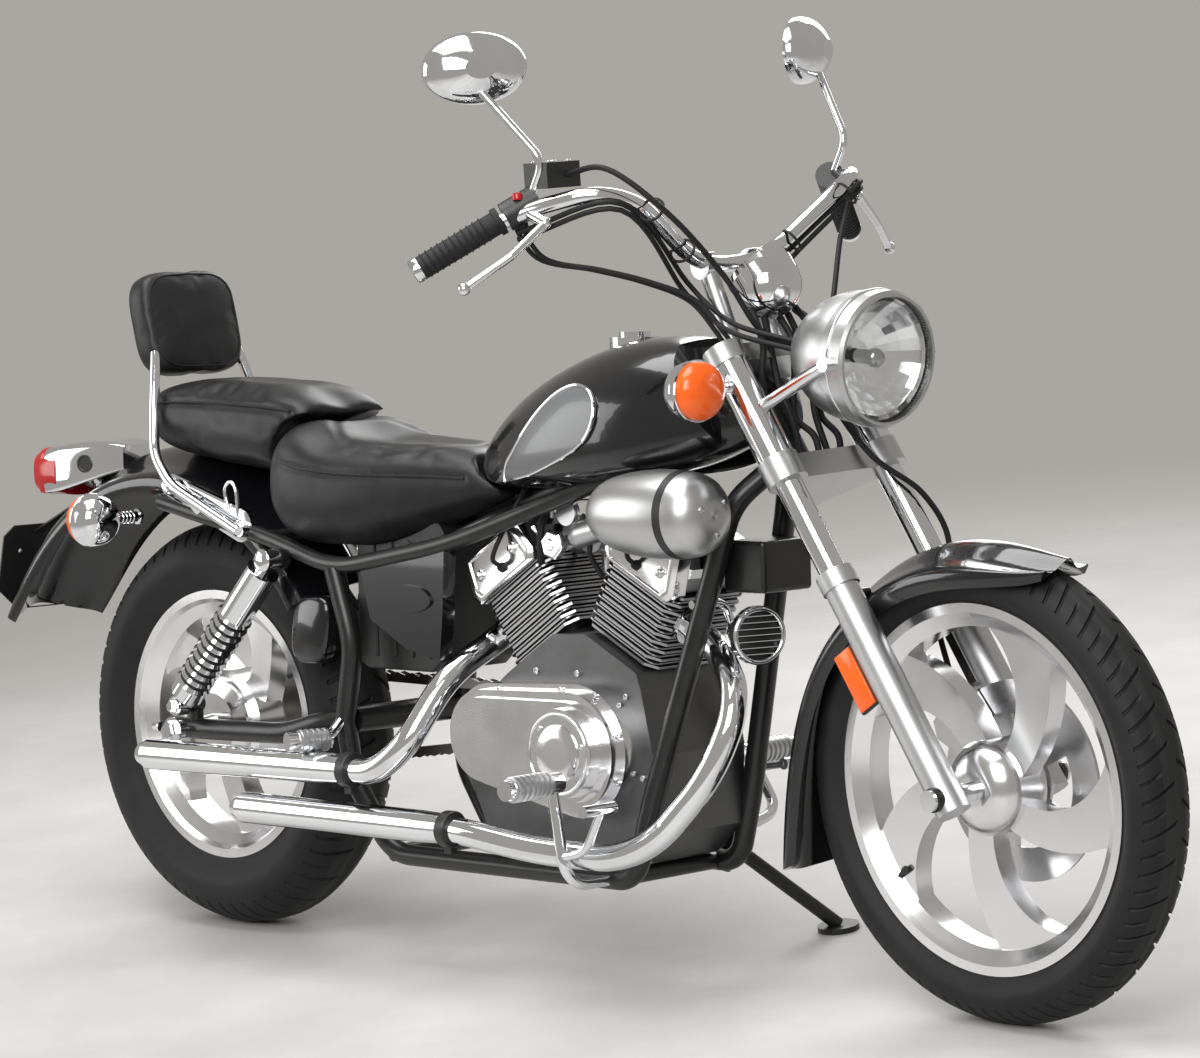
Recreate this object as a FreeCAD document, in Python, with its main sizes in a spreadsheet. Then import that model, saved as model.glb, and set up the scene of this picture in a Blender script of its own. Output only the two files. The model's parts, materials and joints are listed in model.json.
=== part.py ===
# Cruiser motorcycle with an air-cooled V-twin, leaning on its side stand.
# Every piece is drawn for the upright bike: X forward, Y to the rider's left, Z up, with the ground
# at zero and the rear axle above the origin. The placements then turn the front end to its parked
# steering angle, lean the bike onto its stand and put the origin under the middle of its box.
import FreeCAD, Part
import math
import os
import re

import Sketcher

V = FreeCAD.Vector
X_AXIS = V(1, 0, 0)
Y_AXIS = V(0, 1, 0)
Z_AXIS = V(0, 0, 1)
RIGHT = -1
LEFT = 1

# Sizes in millimetres and degrees
SIZES = {
    # stance
    "wheelbase": 1485,
    "rake_angle": 32.7,
    "trail": 119,
    "body_half_width": 100,
    "grip_height": 1000,
    "lean_angle": 7.5,
    "steer_angle": -4.7,
    "steer_stop_angle": 35,
    "cut_overrun": 20,
    "running_clearance": 0.1,
    "seat_clearance": 0.3,
    # front wheel
    "front_tyre_radius": 307,
    "front_tyre_half_width": 46,
    "front_tread_half": 14,
    "front_shoulder_half": 38,
    "front_shoulder_radius": 290,
    "front_flank_radius": 265,
    "front_tread_depth": 13,
    "front_lip_radius": 241.5,
    "front_rim_half_width": 33,
    "front_flange": 4,
    "front_bead_radius": 229,
    "front_bead_width": 11,
    "front_well_half": 12,
    "front_well_radius": 216,
    "front_rim_wall": 6,
    "front_hub_radius": 62,
    "front_hub_half": 48,
    "front_blade_half": 15,
    # rear wheel
    "rear_tyre_radius": 306,
    "rear_tyre_half_width": 65,
    "rear_tread_half": 20,
    "rear_shoulder_half": 53,
    "rear_shoulder_radius": 283,
    "rear_flank_radius": 246,
    "rear_tread_depth": 15,
    "rear_lip_radius": 205,
    "rear_rim_half_width": 46,
    "rear_flange": 4,
    "rear_bead_radius": 192,
    "rear_bead_width": 13,
    "rear_well_half": 18,
    "rear_well_radius": 176,
    "rear_rim_wall": 6,
    "rear_hub_radius": 82,
    "rear_hub_half": 44,
    "rear_blade_half": 17,
    # both wheels
    "blade_count": 5,
    "blade_root_share": 0.8,
    "blade_bury_share": 0.5,
    "blade_middle_share": 0.62,
    "blade_root_start": 10,
    "blade_root_end": 60,
    "blade_middle_start": 39,
    "blade_middle_end": 65,
    "blade_tip_start": 57,
    "blade_tip_end": 87,
    "front_axle_radius": 8,
    "rear_axle_radius": 9,
    "nut_width": 12,
    "nut_radius": 14,
    "spacer_radius": 13,
    # brakes
    "disc_radius": 132,
    "disc_thickness": 5,
    "disc_carrier_radius": 30,
    "disc_window_inner": 52,
    "disc_window_outer": 88,
    "disc_window_angle": 26,
    "disc_window_count": 5,
    "disc_gap": 2,
    "caliper_angle": 140,
    "caliper_bite": 14,
    "caliper_inner": 18,
    "caliper_height": 62,
    "caliper_length": 92,
    "caliper_up": 150,
    "caliper_ear_radius": 9,
    "drum_panel_radius": 70,
    "drum_panel_depth": 16,
    # fork
    "leg_spacing": 92,
    "slider_radius": 23,
    "slider_above_guard": 8,
    "slider_collar_radius": 26,
    "slider_collar_length": 24,
    "stanchion_radius": 18.5,
    "stanchion_bury": 70,
    "lower_clamp_height": 470,
    "lower_clamp_thickness": 36,
    "upper_clamp_height": 652,
    "upper_clamp_thickness": 26,
    "fork_cover_radius": 25,
    "clamp_end_radius": 28,
    "stem_radius": 15,
    "head_tube_radius": 28,
    "head_gap": 0.5,
    "swing_gap": 7,
    "stem_nut_height": 12,
    "riser_half": 45,
    "riser_height": 129,
    "riser_radius": 13,
    "bar_clamp_radius": 18,
    # headlamp and signals
    "lamp_radius": 90,
    "lamp_up_share": 0.342,
    "lamp_ahead": 154,
    "lamp_depth": 128,
    "lamp_wall": 4,
    "lamp_rim_depth": 18,
    "lamp_lens_radius": 82,
    "lamp_lens_bulge": 9,
    "lamp_dip": 5,
    "lamp_ear_radius": 9,
    "signal_radius": 40,
    "signal_half": 180,
    "signal_up_share": 0.725,
    "signal_ahead": 15,
    "signal_depth": 44,
    "signal_stalk_radius": 8,
    # front guard
    "front_guard_gap": 18,
    "front_guard_half": 68,
    "front_guard_depth": 62,
    "front_guard_crown": 22,
    "guard_wall": 3,
    "stay_radius": 6,
    # handlebar and its fittings
    "bar_radius": 11,
    "bar_pull": 172,
    "bar_half": 400,
    "bar_rise": 117,
    "grip_radius": 16,
    "grip_cap": 8,
    "switch_radius": 20,
    "reservoir_width": 46,
    "reservoir_length": 58,
    "reservoir_height": 34,
    "lever_reach": 72,
    "lever_drop": 28,
    "lever_radius": 5.5,
    "mirror_toe": 27.6,
    "mirror_back": 153,
    "mirror_side": 300,
    "mirror_rise": 281,
    "mirror_knee": 34,
    "mirror_depth": 45,
    "mirror_half_width": 71,
    "mirror_half_height": 48,
    "mirror_stem_radius": 5.5,
    "dial_radius": 48,
    "dial_height": 83,
    "dial_ahead": 40,
    "dial_depth": 62,
    "dial_rim": 8,
    "dial_tilt": 48,
    # frame
    "backbone_radius": 21,
    "cradle_radius": 15,
    "rail_radius": 12,
    "rail_half": 118,
    "pivot_shaft_radius": 8,
    "arm_half": 108,
    "arm_radius": 16,
    "shock_half": 140,
    "shock_eye_radius": 15,
    "shock_eye_width": 22,
    "shock_can_radius": 25,
    "shock_rod_radius": 10,
    "spring_radius": 28,
    "spring_root_radius": 23,
    "spring_rings": 11,
    # engine
    "vee_half_angle": 30,
    "vee_tilt": -2.5,
    "case_half": 92,
    "case_length": 390,
    "case_drop": 172,
    "clutch_ahead": 35,
    "clutch_drop": 13,
    "clutch_back": 134,
    "clutch_radius": 92,
    "clutch_small_radius": 72,
    "clutch_depth": 58,
    "clutch_cap_radius": 62,
    "clutch_cap_height": 12,
    "generator_radius": 85,
    "generator_depth": 45,
    "carb_radius": 24,
    "carb_half": 50,
    "filter_radius": 60,
    "filter_length": 218,
    "barrel_start": 140,
    "barrel_core": 44,
    "fin_width": 70,
    "fin_depth": 72,
    "fin_pitch": 12,
    "fin_thickness": 4,
    "fin_count": 10,
    "fin_corner": 16,
    "head_height": 26,
    "head_cover_height": 40,
    # fuel tank
    "tank_wall_gap": 4,
    "cap_radius": 36,
    "cap_height": 9,
    "panel_height": 3,
    # seats and bodywork
    "pad_half": 98,
    "pad_height": 172,
    "pad_thickness": 50,
    "pad_lean": 13,
    "strut_radius": 8,
    "side_cover_depth": 24,
    "oval_half_length": 50,
    "oval_half_height": 20,
    "oval_rise": 4,
    "rear_guard_radius": 438,
    "rear_guard_half": 88,
    "crossbar_angle": 46.9,
    "crossbar_depth": 13.7,
    "rear_guard_depth": 78,
    "rear_guard_crown": 30,
    "tail_half_width": 62,
    "tail_half_height": 33,
    "tail_lens_depth": 24,
    "plate_half_width": 95,
    "plate_height": 140,
    "plate_tilt": 14,
    "plate_thickness": 3,
    "plate_hole_spacing": 120,
    "plate_hole_radius": 3.5,
    # electrics
    "horn_radius": 40,
    "horn_depth": 38,
    "horn_rim": 10,
    "box_length": 75,
    "box_width": 98,
    "box_height": 70,
    "box_round": 6,
    # feet
    "peg_length": 90,
    "peg_radius": 14,
    "peg_stem_radius": 8,
    "pedal_radius": 6,
    # exhaust
    "pipe_radius": 19,
    "muffler_radius": 23,
    "muffler_half": 190,
    "muffler_taper": 60,
    "muffler_bore": 70,
    "port_height": 216,
    "port_side": 32,
    # chain drive
    "chain_side": 82,
    "chain_half_width": 9,
    "chain_plate": 3,
    "chain_band": 8,
    "chain_waist_share": 0.45,
    "chain_front_turns": 8,
    "chain_rear_turns": 16,
    "chain_pitch": 15.9,
    "sprocket_thickness": 7,
    "sprocket_root_radius": 71,
    "sprocket_tip_radius": 77,
    "sprocket_teeth": 38,
    "front_sprocket_radius": 31,
    "pocket_gap": 6,
    # side stand
    "stand_reach_forward": 70,
    "stand_reach_side": 122,
    "stand_tube_radius": 10,
    "stand_foot_radius": 30,
    "stand_foot_thickness": 8,
    "stand_eye_radius": 15,
    "stand_eye_half": 12,
    "stand_bolt_radius": 6,
    "stand_fold_angle": 107,
}

doc = FreeCAD.newDocument("CruiserMotorcycle")
sheet = doc.addObject("Spreadsheet::Sheet", "Sizes")
for row, (size_name, size_value) in enumerate(SIZES.items(), start=1):
    sheet.set(f"A{row}", size_name)
    sheet.set(f"B{row}", str(size_value))
    sheet.setAlias(f"B{row}", size_name)
doc.recompute()


class SheetSizes:
    """Reads a named size from the sheet: d.wheelbase."""

    def __getattr__(self, name):
        return float(sheet.get(name))


d = SheetSizes()


def fore(station):
    """A place along the bike, as a share of the wheelbase."""
    return station * d.wheelbase


def at(fore_share, side_share, height_share):
    """A place on the bike: shares of the wheelbase, the body's half width and the grips' height."""
    return V(fore_share * d.wheelbase, side_share * d.body_half_width, height_share * d.grip_height)


# Placements of the whole bike
REAR_AXLE = V(0, 0, d.rear_tyre_radius)
RAKE_SIN = math.sin(math.radians(d.rake_angle))
RAKE_COS = math.cos(math.radians(d.rake_angle))
STEER_UP = V(-RAKE_SIN, 0, RAKE_COS)
STEER_FORE = V(RAKE_COS, 0, RAKE_SIN)
STEER_FOOT = V(d.wheelbase + d.trail, 0, 0)


def lowest(centre, axle, tyre_radius, tread_half):
    """Height of the lowest point of a tyre about the given axle line."""
    return centre.z - tyre_radius * math.sqrt(1 - axle.z ** 2) - tread_half * abs(axle.z)


def turned_front(axle_height):
    """Lowest points of the rear and of the steered front tyre on the leaning bike."""
    lean = FreeCAD.Rotation(X_AXIS, -d.lean_angle)
    steer = FreeCAD.Placement(V(), FreeCAD.Rotation(STEER_UP, d.steer_angle), STEER_FOOT)
    rear = lowest(lean.multVec(REAR_AXLE), lean.multVec(Y_AXIS), d.rear_tyre_radius, d.rear_tread_half)
    centre = lean.multVec(steer.multVec(V(d.wheelbase, 0, axle_height)))
    axle = lean.multVec(steer.Rotation.multVec(Y_AXIS))
    return rear, lowest(centre, axle, d.front_tyre_radius, d.front_tread_half)


def front_axle_height():
    """Height at which the parked front tyre reaches the same floor as the rear one."""
    height = d.front_tyre_radius
    for _ in range(SETTLING_STEPS):
        rear, front = turned_front(height)
        height += rear - front
    return height


SETTLING_STEPS = 6
FRONT_AXLE = V(d.wheelbase, 0, front_axle_height())
FLOOR_DROP = turned_front(FRONT_AXLE.z)[0]
STEM_OFFSET = -(STEER_FOOT - FRONT_AXLE).cross(STEER_UP).Length
STEER = FreeCAD.Placement(V(), FreeCAD.Rotation(STEER_UP, d.steer_angle), STEER_FOOT)
BIKE = FreeCAD.Placement(V(0, 0, -FLOOR_DROP), FreeCAD.Rotation(X_AXIS, -d.lean_angle))
FRONT = BIKE.multiply(STEER)


def facing(direction, up=Z_AXIS):
    """Turns a piece drawn along +Y so that it points in the direction."""
    side = direction.cross(up)
    return FreeCAD.Rotation(side, direction, side.cross(direction), "YXZ")


# Tools for parametric bodies
def bound(text):
    """An outline's expression, with its size words as references to the sheet."""
    return re.sub(
        r"[a-z]\w*",
        lambda word: f"Sizes.{word.group()}" if word.group() in SIZES else word.group(),
        text,
    )


def value(text):
    return float(sheet.evalExpression(bound(text)))


def origin_part(body, role):
    return next(part for part in body.Origin.OriginFeatures if part.Role == role)


def new_body(label):
    body = doc.addObject("PartDesign::Body", label)
    body.Label = label
    return body


def sketch(body, role, outline):
    """A closed sketch of (across, up) expressions. Two more make the edge that ends there an arc
    through that second point."""
    drawing = body.newObject("Sketcher::SketchObject", f"{body.Name}_outline")
    drawing.AttachmentSupport = (origin_part(body, role), [""])
    drawing.MapMode = "FlatFace"
    corners = [V(value(point[0]), value(point[1]), 0) for point in outline]
    ends = []
    for index, point in enumerate(outline):
        start, end = corners[index - 1], corners[index]
        if len(point) == 2:
            drawing.addGeometry(Part.LineSegment(start, end))
            ends.append((1, 2))
            continue
        middle = V(value(point[2]), value(point[3]), 0)
        if (middle - start).cross(end - start).z > 0:
            drawing.addGeometry(Part.Arc(start, middle, end))
            ends.append((1, 2))
        else:
            drawing.addGeometry(Part.Arc(end, middle, start))
            ends.append((2, 1))

    def hold(geometry, vertex, texts):
        for kind, text in zip(("DistanceX", "DistanceY"), texts):
            rule = Sketcher.Constraint(kind, -1, 1, geometry, vertex, value(text))
            number = drawing.addConstraint(rule)
            drawing.setExpression(f"Constraints[{number}]", bound(text))

    for index, point in enumerate(outline):
        following = (index + 1) % len(outline)
        drawing.addConstraint(
            Sketcher.Constraint("Coincident", index, ends[index][1], following, ends[following][0])
        )
        hold(index, ends[index][1], point[:2])
        if len(point) == 4:
            middle = drawing.addGeometry(Part.Point(V(value(point[2]), value(point[3]), 0)), True)
            hold(middle, 1, point[2:])
            drawing.addConstraint(Sketcher.Constraint("PointOnObject", middle, 1, index))
    return drawing


def turn_about_y(body, outline, kind="PartDesign::Revolution"):
    """Turns an outline of (along Y, radius) about the body's Y axis."""
    drawing = sketch(body, "YZ_Plane", outline)
    feature = body.newObject(kind, f"{body.Name}_turning")
    feature.Profile = drawing
    feature.ReferenceAxis = (drawing, ["H_Axis"])
    feature.Angle = 360
    return feature


def offset_left(drawing, distance):
    """Moves a sketch on the XZ plane to the left by a distance."""
    drawing.setExpression("AttachmentOffset.Base.z", bound(f"-({distance})"))


def pad(body, drawing, length, kind="PartDesign::Pad"):
    """Pads or cuts a sketch to both sides of its plane."""
    feature = body.newObject(kind, f"{body.Name}_pad")
    feature.Profile = drawing
    feature.Midplane = True
    feature.setExpression("Length", bound(length))
    return feature


def around_y(body, features, count):
    pattern = body.newObject("PartDesign::PolarPattern", f"{body.Name}_pattern")
    pattern.Originals = features
    pattern.Axis = (origin_part(body, "Y_Axis"), [""])
    pattern.Angle = 360
    pattern.setExpression("Occurrences", bound(count))
    body.Tip = pattern
    return pattern


SHAPES = {}


def settled(body, base, place, turn=None):
    """Sets a body on the bike, and keeps its shape in the upright, straight-ahead bike."""
    local = FreeCAD.Placement(place, turn or FreeCAD.Rotation())
    doc.recompute()
    shape = body.Shape.copy()
    shape.Placement = local
    SHAPES[body.Label] = shape
    body.Placement = base.multiply(local)
    return body


def turned(label, outline, base, place, turn=None):
    """A piece turned about its own Y axis and set on the bike."""
    body = new_body(label)
    turn_about_y(body, outline)
    return settled(body, base, place, turn)


# Tools for free shapes, all drawn in the upright, straight-ahead bike
def piece(label, shape, placement):
    """A sub-part made of one free shape or of several that don't touch."""
    solids = shape if isinstance(shape, list) else [shape]
    whole = solids[0] if len(solids) == 1 else Part.makeCompound(solids)
    feature = doc.addObject("Part::Feature", label)
    feature.Label = label
    feature.Shape = whole
    feature.Placement = placement
    SHAPES[label] = whole
    return feature


def one(shapes):
    """Joins overlapping shapes to one solid."""
    joined = shapes[0].fuse(shapes[1:]) if len(shapes) > 1 else shapes[0]
    return joined.removeSplitter()


def rod(start, end, radius):
    return Part.makeCylinder(radius, (end - start).Length, start, end - start)


def cone(start, end, start_radius, end_radius):
    return Part.makeCone(start_radius, end_radius, (end - start).Length, start, end - start)


def path(points, bend_share=0.45):
    """Straight runs with the largest tangent arcs that the runs allow."""
    edges = []
    last = points[0]
    for before, corner, after in zip(points, points[1:], points[2:]):
        back = (before - corner).normalize()
        ahead = (after - corner).normalize()
        half_turn = (math.pi - back.getAngle(ahead)) / 2
        reach = bend_share * min((before - corner).Length, (after - corner).Length)
        radius = reach / math.tan(half_turn)
        start = corner + back * reach
        end = corner + ahead * reach
        inward = (back + ahead).normalize()
        middle = corner + inward * (radius / math.cos(half_turn) - radius)
        edges.append(Part.LineSegment(last, start).toShape())
        edges.append(Part.Arc(start, middle, end).toShape())
        last = end
    edges.append(Part.LineSegment(last, points[-1]).toShape())
    return Part.Wire(edges)


def swept(points, radius, bend_share=0.45):
    """A round bar or closed pipe along straight runs and tangent arcs."""
    spine = path(points, bend_share)
    section = Part.Wire([Part.makeCircle(radius, points[0], points[1] - points[0])])
    return spine.makePipeShell([section], True, False)


def smooth_loop(points):
    curve = Part.BSplineCurve()
    curve.interpolate(points, PeriodicFlag=True)
    return Part.Wire([curve.toShape()])


def lofted(wires):
    return Part.makeLoft(wires, True, False)


def plate(points, thickness, direction):
    """A flat plate: a closed outline of corners, as thick as given along the direction."""
    face = Part.Face(Part.makePolygon(points + points[:1]))
    return face.extrude(V(direction).normalize() * thickness)


def cut(shape, *tools):
    for tool in tools:
        shape = shape.cut(tool)
    return shape


# Wheels, turned and patterned about their own axles
WHEELS = {"front": (FRONT, FRONT_AXLE), "rear": (BIKE, REAR_AXLE)}


def polar(radius, angle):
    return (f"({radius}) * cos({angle})", f"({radius}) * sin({angle})")


def tyre(end):
    """A hollow tyre of few straight flanks, whose beads stand against the rim's flanges."""
    bead = f"({end}_rim_half_width - {end}_flange)"
    inner = f"({bead} - {end}_bead_width)"
    right = [
        (inner, f"{end}_bead_radius"),
        (bead, f"{end}_bead_radius"),
        (bead, f"{end}_lip_radius + seat_clearance"),
        (f"{end}_tyre_half_width", f"{end}_flank_radius"),
        (f"{end}_shoulder_half", f"{end}_shoulder_radius"),
        (f"{end}_tread_half", f"{end}_tyre_radius"),
    ]
    left = [(f"-({across})", radius) for across, radius in right[::-1]]
    roof = ("0", f"{end}_tyre_radius - {end}_tread_depth")
    return turned(f"{end}_tyre", right + left + [roof], *WHEELS[end])


def rim(end, hub_outline):
    """A cast wheel: hub, swirling blades and a stepped drop-centre rim."""
    body = new_body(f"{end}_rim")
    turn_about_y(body, hub_outline)
    root = f"{end}_hub_radius * blade_root_share"
    tip = f"{end}_well_radius - {end}_rim_wall * blade_bury_share"
    middle = f"{end}_well_radius * blade_middle_share"
    blade = sketch(body, "XZ_Plane", [
        polar(root, "blade_root_start"),
        polar(tip, "blade_tip_start") + polar(middle, "blade_middle_start"),
        polar(tip, "blade_tip_end") + polar(tip, "(blade_tip_start + blade_tip_end) / 2"),
        polar(root, "blade_root_end") + polar(middle, "blade_middle_end"),
    ])
    around_y(body, [pad(body, blade, f"{end}_blade_half * 2")], "blade_count")
    half = f"{end}_rim_half_width"
    flange = f"({half} - {end}_flange)"
    step = f"({half} + {end}_well_half) / 2"
    ring = [
        (f"-{half}", f"{end}_lip_radius"),
        (f"-{flange}", f"{end}_lip_radius"),
        (f"-{flange}", f"{end}_bead_radius"),
        (f"-{step}", f"{end}_bead_radius"),
        (f"-{end}_well_half", f"{end}_well_radius"),
        (f"{end}_well_half", f"{end}_well_radius"),
        (step, f"{end}_bead_radius"),
        (flange, f"{end}_bead_radius"),
        (flange, f"{end}_lip_radius"),
        (half, f"{end}_lip_radius"),
        (half, f"{end}_bead_radius"),
        (f"{step} + {end}_rim_wall", f"{end}_bead_radius - {end}_rim_wall"),
        (f"{end}_well_half + {end}_rim_wall", f"{end}_well_radius - {end}_rim_wall"),
        (f"-{end}_well_half - {end}_rim_wall", f"{end}_well_radius - {end}_rim_wall"),
        (f"-({step}) - {end}_rim_wall", f"{end}_bead_radius - {end}_rim_wall"),
        (f"-{half}", f"{end}_bead_radius"),
    ]
    turn_about_y(body, ring)
    return settled(body, *WHEELS[end])


def front_wheel():
    bore = "front_axle_radius + running_clearance"
    rim("front", [
        ("-front_hub_half", bore),
        ("-front_hub_half", "front_hub_radius * 0.3"),
        ("-front_hub_half * 0.4", "front_hub_radius", "-front_hub_half * 0.85", "front_hub_radius * 0.72"),
        ("front_hub_half * 0.6", "front_hub_radius"),
        ("front_hub_half", "front_hub_radius * 0.7"),
        ("front_hub_half", bore),
    ])
    tyre("front")
    disc = new_body("brake_disc")
    inner = "front_hub_half"
    outer = "front_hub_half + disc_thickness"
    turn_about_y(disc, [
        (inner, "disc_carrier_radius"),
        (inner, "disc_radius"),
        (outer, "disc_radius"),
        (outer, "disc_carrier_radius"),
    ])
    window = sketch(disc, "XZ_Plane", [
        polar("disc_window_inner", "-disc_window_angle") + polar("disc_window_inner", "0"),
        polar("disc_window_outer", "-disc_window_angle"),
        polar("disc_window_outer", "disc_window_angle") + polar("disc_window_outer", "0"),
        polar("disc_window_inner", "disc_window_angle"),
    ])
    opening = pad(disc, window, "(front_hub_half + disc_thickness + cut_overrun) * 2", "PartDesign::Pocket")
    doc.recompute()
    around_y(disc, [opening], "disc_window_count")
    settled(disc, *WHEELS["front"])


def rear_wheel():
    bore = "rear_axle_radius + running_clearance"
    rim("rear", [
        ("-rear_hub_half", bore),
        ("-rear_hub_half", "rear_hub_radius * 0.9"),
        ("-rear_hub_half * 0.8", "rear_hub_radius"),
        ("rear_hub_half * 0.3", "rear_hub_radius"),
        ("rear_hub_half * 0.6", "rear_hub_radius * 0.7"),
        ("rear_hub_half", "rear_hub_radius * 0.62"),
        ("rear_hub_half", bore),
    ])
    tyre("rear")
    sprocket = new_body("rear_sprocket")
    inner = "chain_side - sprocket_thickness / 2"
    outer = "chain_side + sprocket_thickness / 2"
    turn_about_y(sprocket, [
        ("rear_hub_half", bore),
        ("rear_hub_half", "rear_hub_radius * 0.6"),
        (inner, "rear_hub_radius * 0.55"),
        (inner, "sprocket_root_radius"),
        (outer, "sprocket_root_radius"),
        (outer, bore),
    ])
    half_tooth = "90 / sprocket_teeth"
    tooth = sketch(sprocket, "XZ_Plane", [
        polar("sprocket_root_radius - sprocket_thickness / 2", f"-{half_tooth}"),
        polar("sprocket_tip_radius", f"-{half_tooth} / 3"),
        polar("sprocket_tip_radius", f"{half_tooth} / 3"),
        polar("sprocket_root_radius - sprocket_thickness / 2", half_tooth),
    ])
    offset_left(tooth, "chain_side")
    block = pad(sprocket, tooth, "sprocket_thickness")
    doc.recompute()
    around_y(sprocket, [block], "sprocket_teeth")
    settled(sprocket, *WHEELS["rear"])


def rear_axle():
    end = "arm_half + arm_radius"
    turned("rear_axle", [
        (f"-({end}) - nut_width", "0"),
        (f"-({end}) - nut_width", "nut_radius"),
        (f"-({end})", "nut_radius"),
        (f"-({end})", "rear_axle_radius"),
        (end, "rear_axle_radius"),
        (end, "nut_radius"),
        (f"{end} + nut_width", "nut_radius"),
        (f"{end} + nut_width", "0"),
    ], *WHEELS["rear"])


# Places on the bike
def fork(side, along, ahead=0):
    """A point of the fork: sideways, up along the legs from the axle, and ahead of them."""
    return FRONT_AXLE + Y_AXIS * side + STEER_UP * along + STEER_FORE * ahead


LEG_LOW = d.lower_clamp_height + d.lower_clamp_thickness
LEG_HIGH = d.upper_clamp_height
FORK_TOP = d.upper_clamp_height + d.upper_clamp_thickness
SLIDER_TOP = d.front_tyre_radius + d.front_guard_gap + d.slider_above_guard
LAMP_CENTRE = fork(0, LEG_LOW + (LEG_HIGH - LEG_LOW) * d.lamp_up_share, d.lamp_ahead)
FRONT_SIGNAL = fork(d.signal_half, LEG_LOW + (LEG_HIGH - LEG_LOW) * d.signal_up_share, d.signal_ahead)
BAR_CENTRE = fork(0, FORK_TOP + d.riser_height)
MIRROR = BAR_CENTRE + V(-d.mirror_back, d.mirror_side, d.mirror_rise)
DIAL_CENTRE = fork(0, FORK_TOP + d.dial_height, d.dial_ahead)
DIAL_AXIS = V(-math.cos(math.radians(d.dial_tilt)), 0, math.sin(math.radians(d.dial_tilt)))
REAR_GUARD_HUB = at(-0.0606, 0, 0.29)
CROSSBAR = REAR_GUARD_HUB + V(math.cos(math.radians(d.crossbar_angle)), 0,
                              math.sin(math.radians(d.crossbar_angle))) * (d.rear_guard_radius - d.crossbar_depth)
PIVOT = at(0.247, 0, 0.339)
SHOCK_TOP = at(0.160, 1.4, 0.571)
SHOCK_FOOT = at(0.0135, 1.4, 0.345)
CRANK = at(0.5455, 0, 0.338)
SPROCKET_COVER = at(0.4444, 0, 0.345)
FILTER_CENTRE = at(0.688, -1.42, 0.656)
STAND_PIVOT = at(0.600, 1.36, 0.165)
PLATE_TURN = FreeCAD.Rotation(Y_AXIS, d.plate_tilt)
PLATE_UP = PLATE_TURN.multVec(Z_AXIS)
PLATE_BACK = PLATE_TURN.multVec(X_AXIS) * -1
PLATE_TOP = at(-0.302, 0, 0.60)
PLATE_HOLES = PLATE_TOP - PLATE_UP * (d.plate_height * 0.3)
FLOOR_UP = V(0, -math.sin(math.radians(d.lean_angle)), math.cos(math.radians(d.lean_angle)))


def on_floor(point):
    """The point of the leaning bike's floor below a point, along the floor's own normal."""
    return point - FLOOR_UP * (point.dot(FLOOR_UP) - FLOOR_DROP)


STAND_FOOT = on_floor(STAND_PIVOT + V(d.stand_reach_forward, d.stand_reach_side, 0))
STAND_FOLDED = V(-1, 0.02, 0.04)
STAND_AXIS = (STAND_FOOT - STAND_PIVOT).cross(STAND_FOLDED).normalize()


# Front end, drawn straight ahead and then turned about the steering stem
def sliders():
    legs = []
    for side in (RIGHT, LEFT):
        y = side * d.leg_spacing
        tube = rod(fork(y, -d.slider_radius), fork(y, SLIDER_TOP), d.slider_radius)
        collar = rod(fork(y, SLIDER_TOP - d.slider_collar_length), fork(y, SLIDER_TOP),
                     d.slider_collar_radius)
        bore = rod(fork(y, SLIDER_TOP - d.stanchion_bury), fork(y, SLIDER_TOP + d.cut_overrun),
                   d.stanchion_radius)
        hole = rod(fork(y - d.slider_radius - d.cut_overrun, 0), fork(y + d.slider_radius + d.cut_overrun, 0),
                   d.front_axle_radius)
        legs.append(cut(one([tube, collar]), bore, hole))
    piece("fork_sliders", legs, FRONT)


def stanchions():
    legs = []
    low = d.lower_clamp_height + d.lower_clamp_thickness
    top = d.upper_clamp_height + d.upper_clamp_thickness
    for side in (RIGHT, LEFT):
        y = side * d.leg_spacing
        tube = rod(fork(y, SLIDER_TOP - d.stanchion_bury), fork(y, top), d.stanchion_radius)
        cover = rod(fork(y, low), fork(y, d.upper_clamp_height), d.fork_cover_radius)
        ear_foot = fork(y, (low + d.upper_clamp_height) / 2)
        ear = rod(ear_foot, V(LAMP_CENTRE.x, y, LAMP_CENTRE.z), d.lamp_ear_radius)
        eye = rod(V(LAMP_CENTRE.x, y + side * d.lamp_ear_radius, LAMP_CENTRE.z),
                  V(LAMP_CENTRE.x, side * (d.lamp_radius - d.lamp_wall), LAMP_CENTRE.z), d.lamp_ear_radius)
        legs.append(cut(one([tube, cover, ear, eye]), SHAPES["headlamp_shell"]))
    piece("fork_stanchions", legs, FRONT)


def clamp_plate(bottom, thickness):
    """A fork bridge: round ends on the legs, and a web that reaches back round the stem."""
    y = d.leg_spacing
    radius = d.clamp_end_radius
    ends = [rod(fork(side * y, bottom), fork(side * y, bottom + thickness), radius) for side in (RIGHT, LEFT)]
    middle = rod(fork(0, bottom, STEM_OFFSET), fork(0, bottom + thickness, STEM_OFFSET), radius)
    outline = [fork(-y, bottom, radius * 0.4), fork(y, bottom, radius * 0.4), fork(y, bottom, -radius),
               fork(radius, bottom, STEM_OFFSET - radius * 0.3), fork(-radius, bottom, STEM_OFFSET - radius * 0.3),
               fork(-y, bottom, -radius)]
    bridge = one([middle, plate(outline, thickness, STEER_UP)] + ends)
    holes = [rod(fork(side * y, bottom - d.cut_overrun), fork(side * y, bottom + thickness + d.cut_overrun),
                 d.stanchion_radius) for side in (RIGHT, LEFT)]
    return cut(bridge, *holes)


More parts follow.
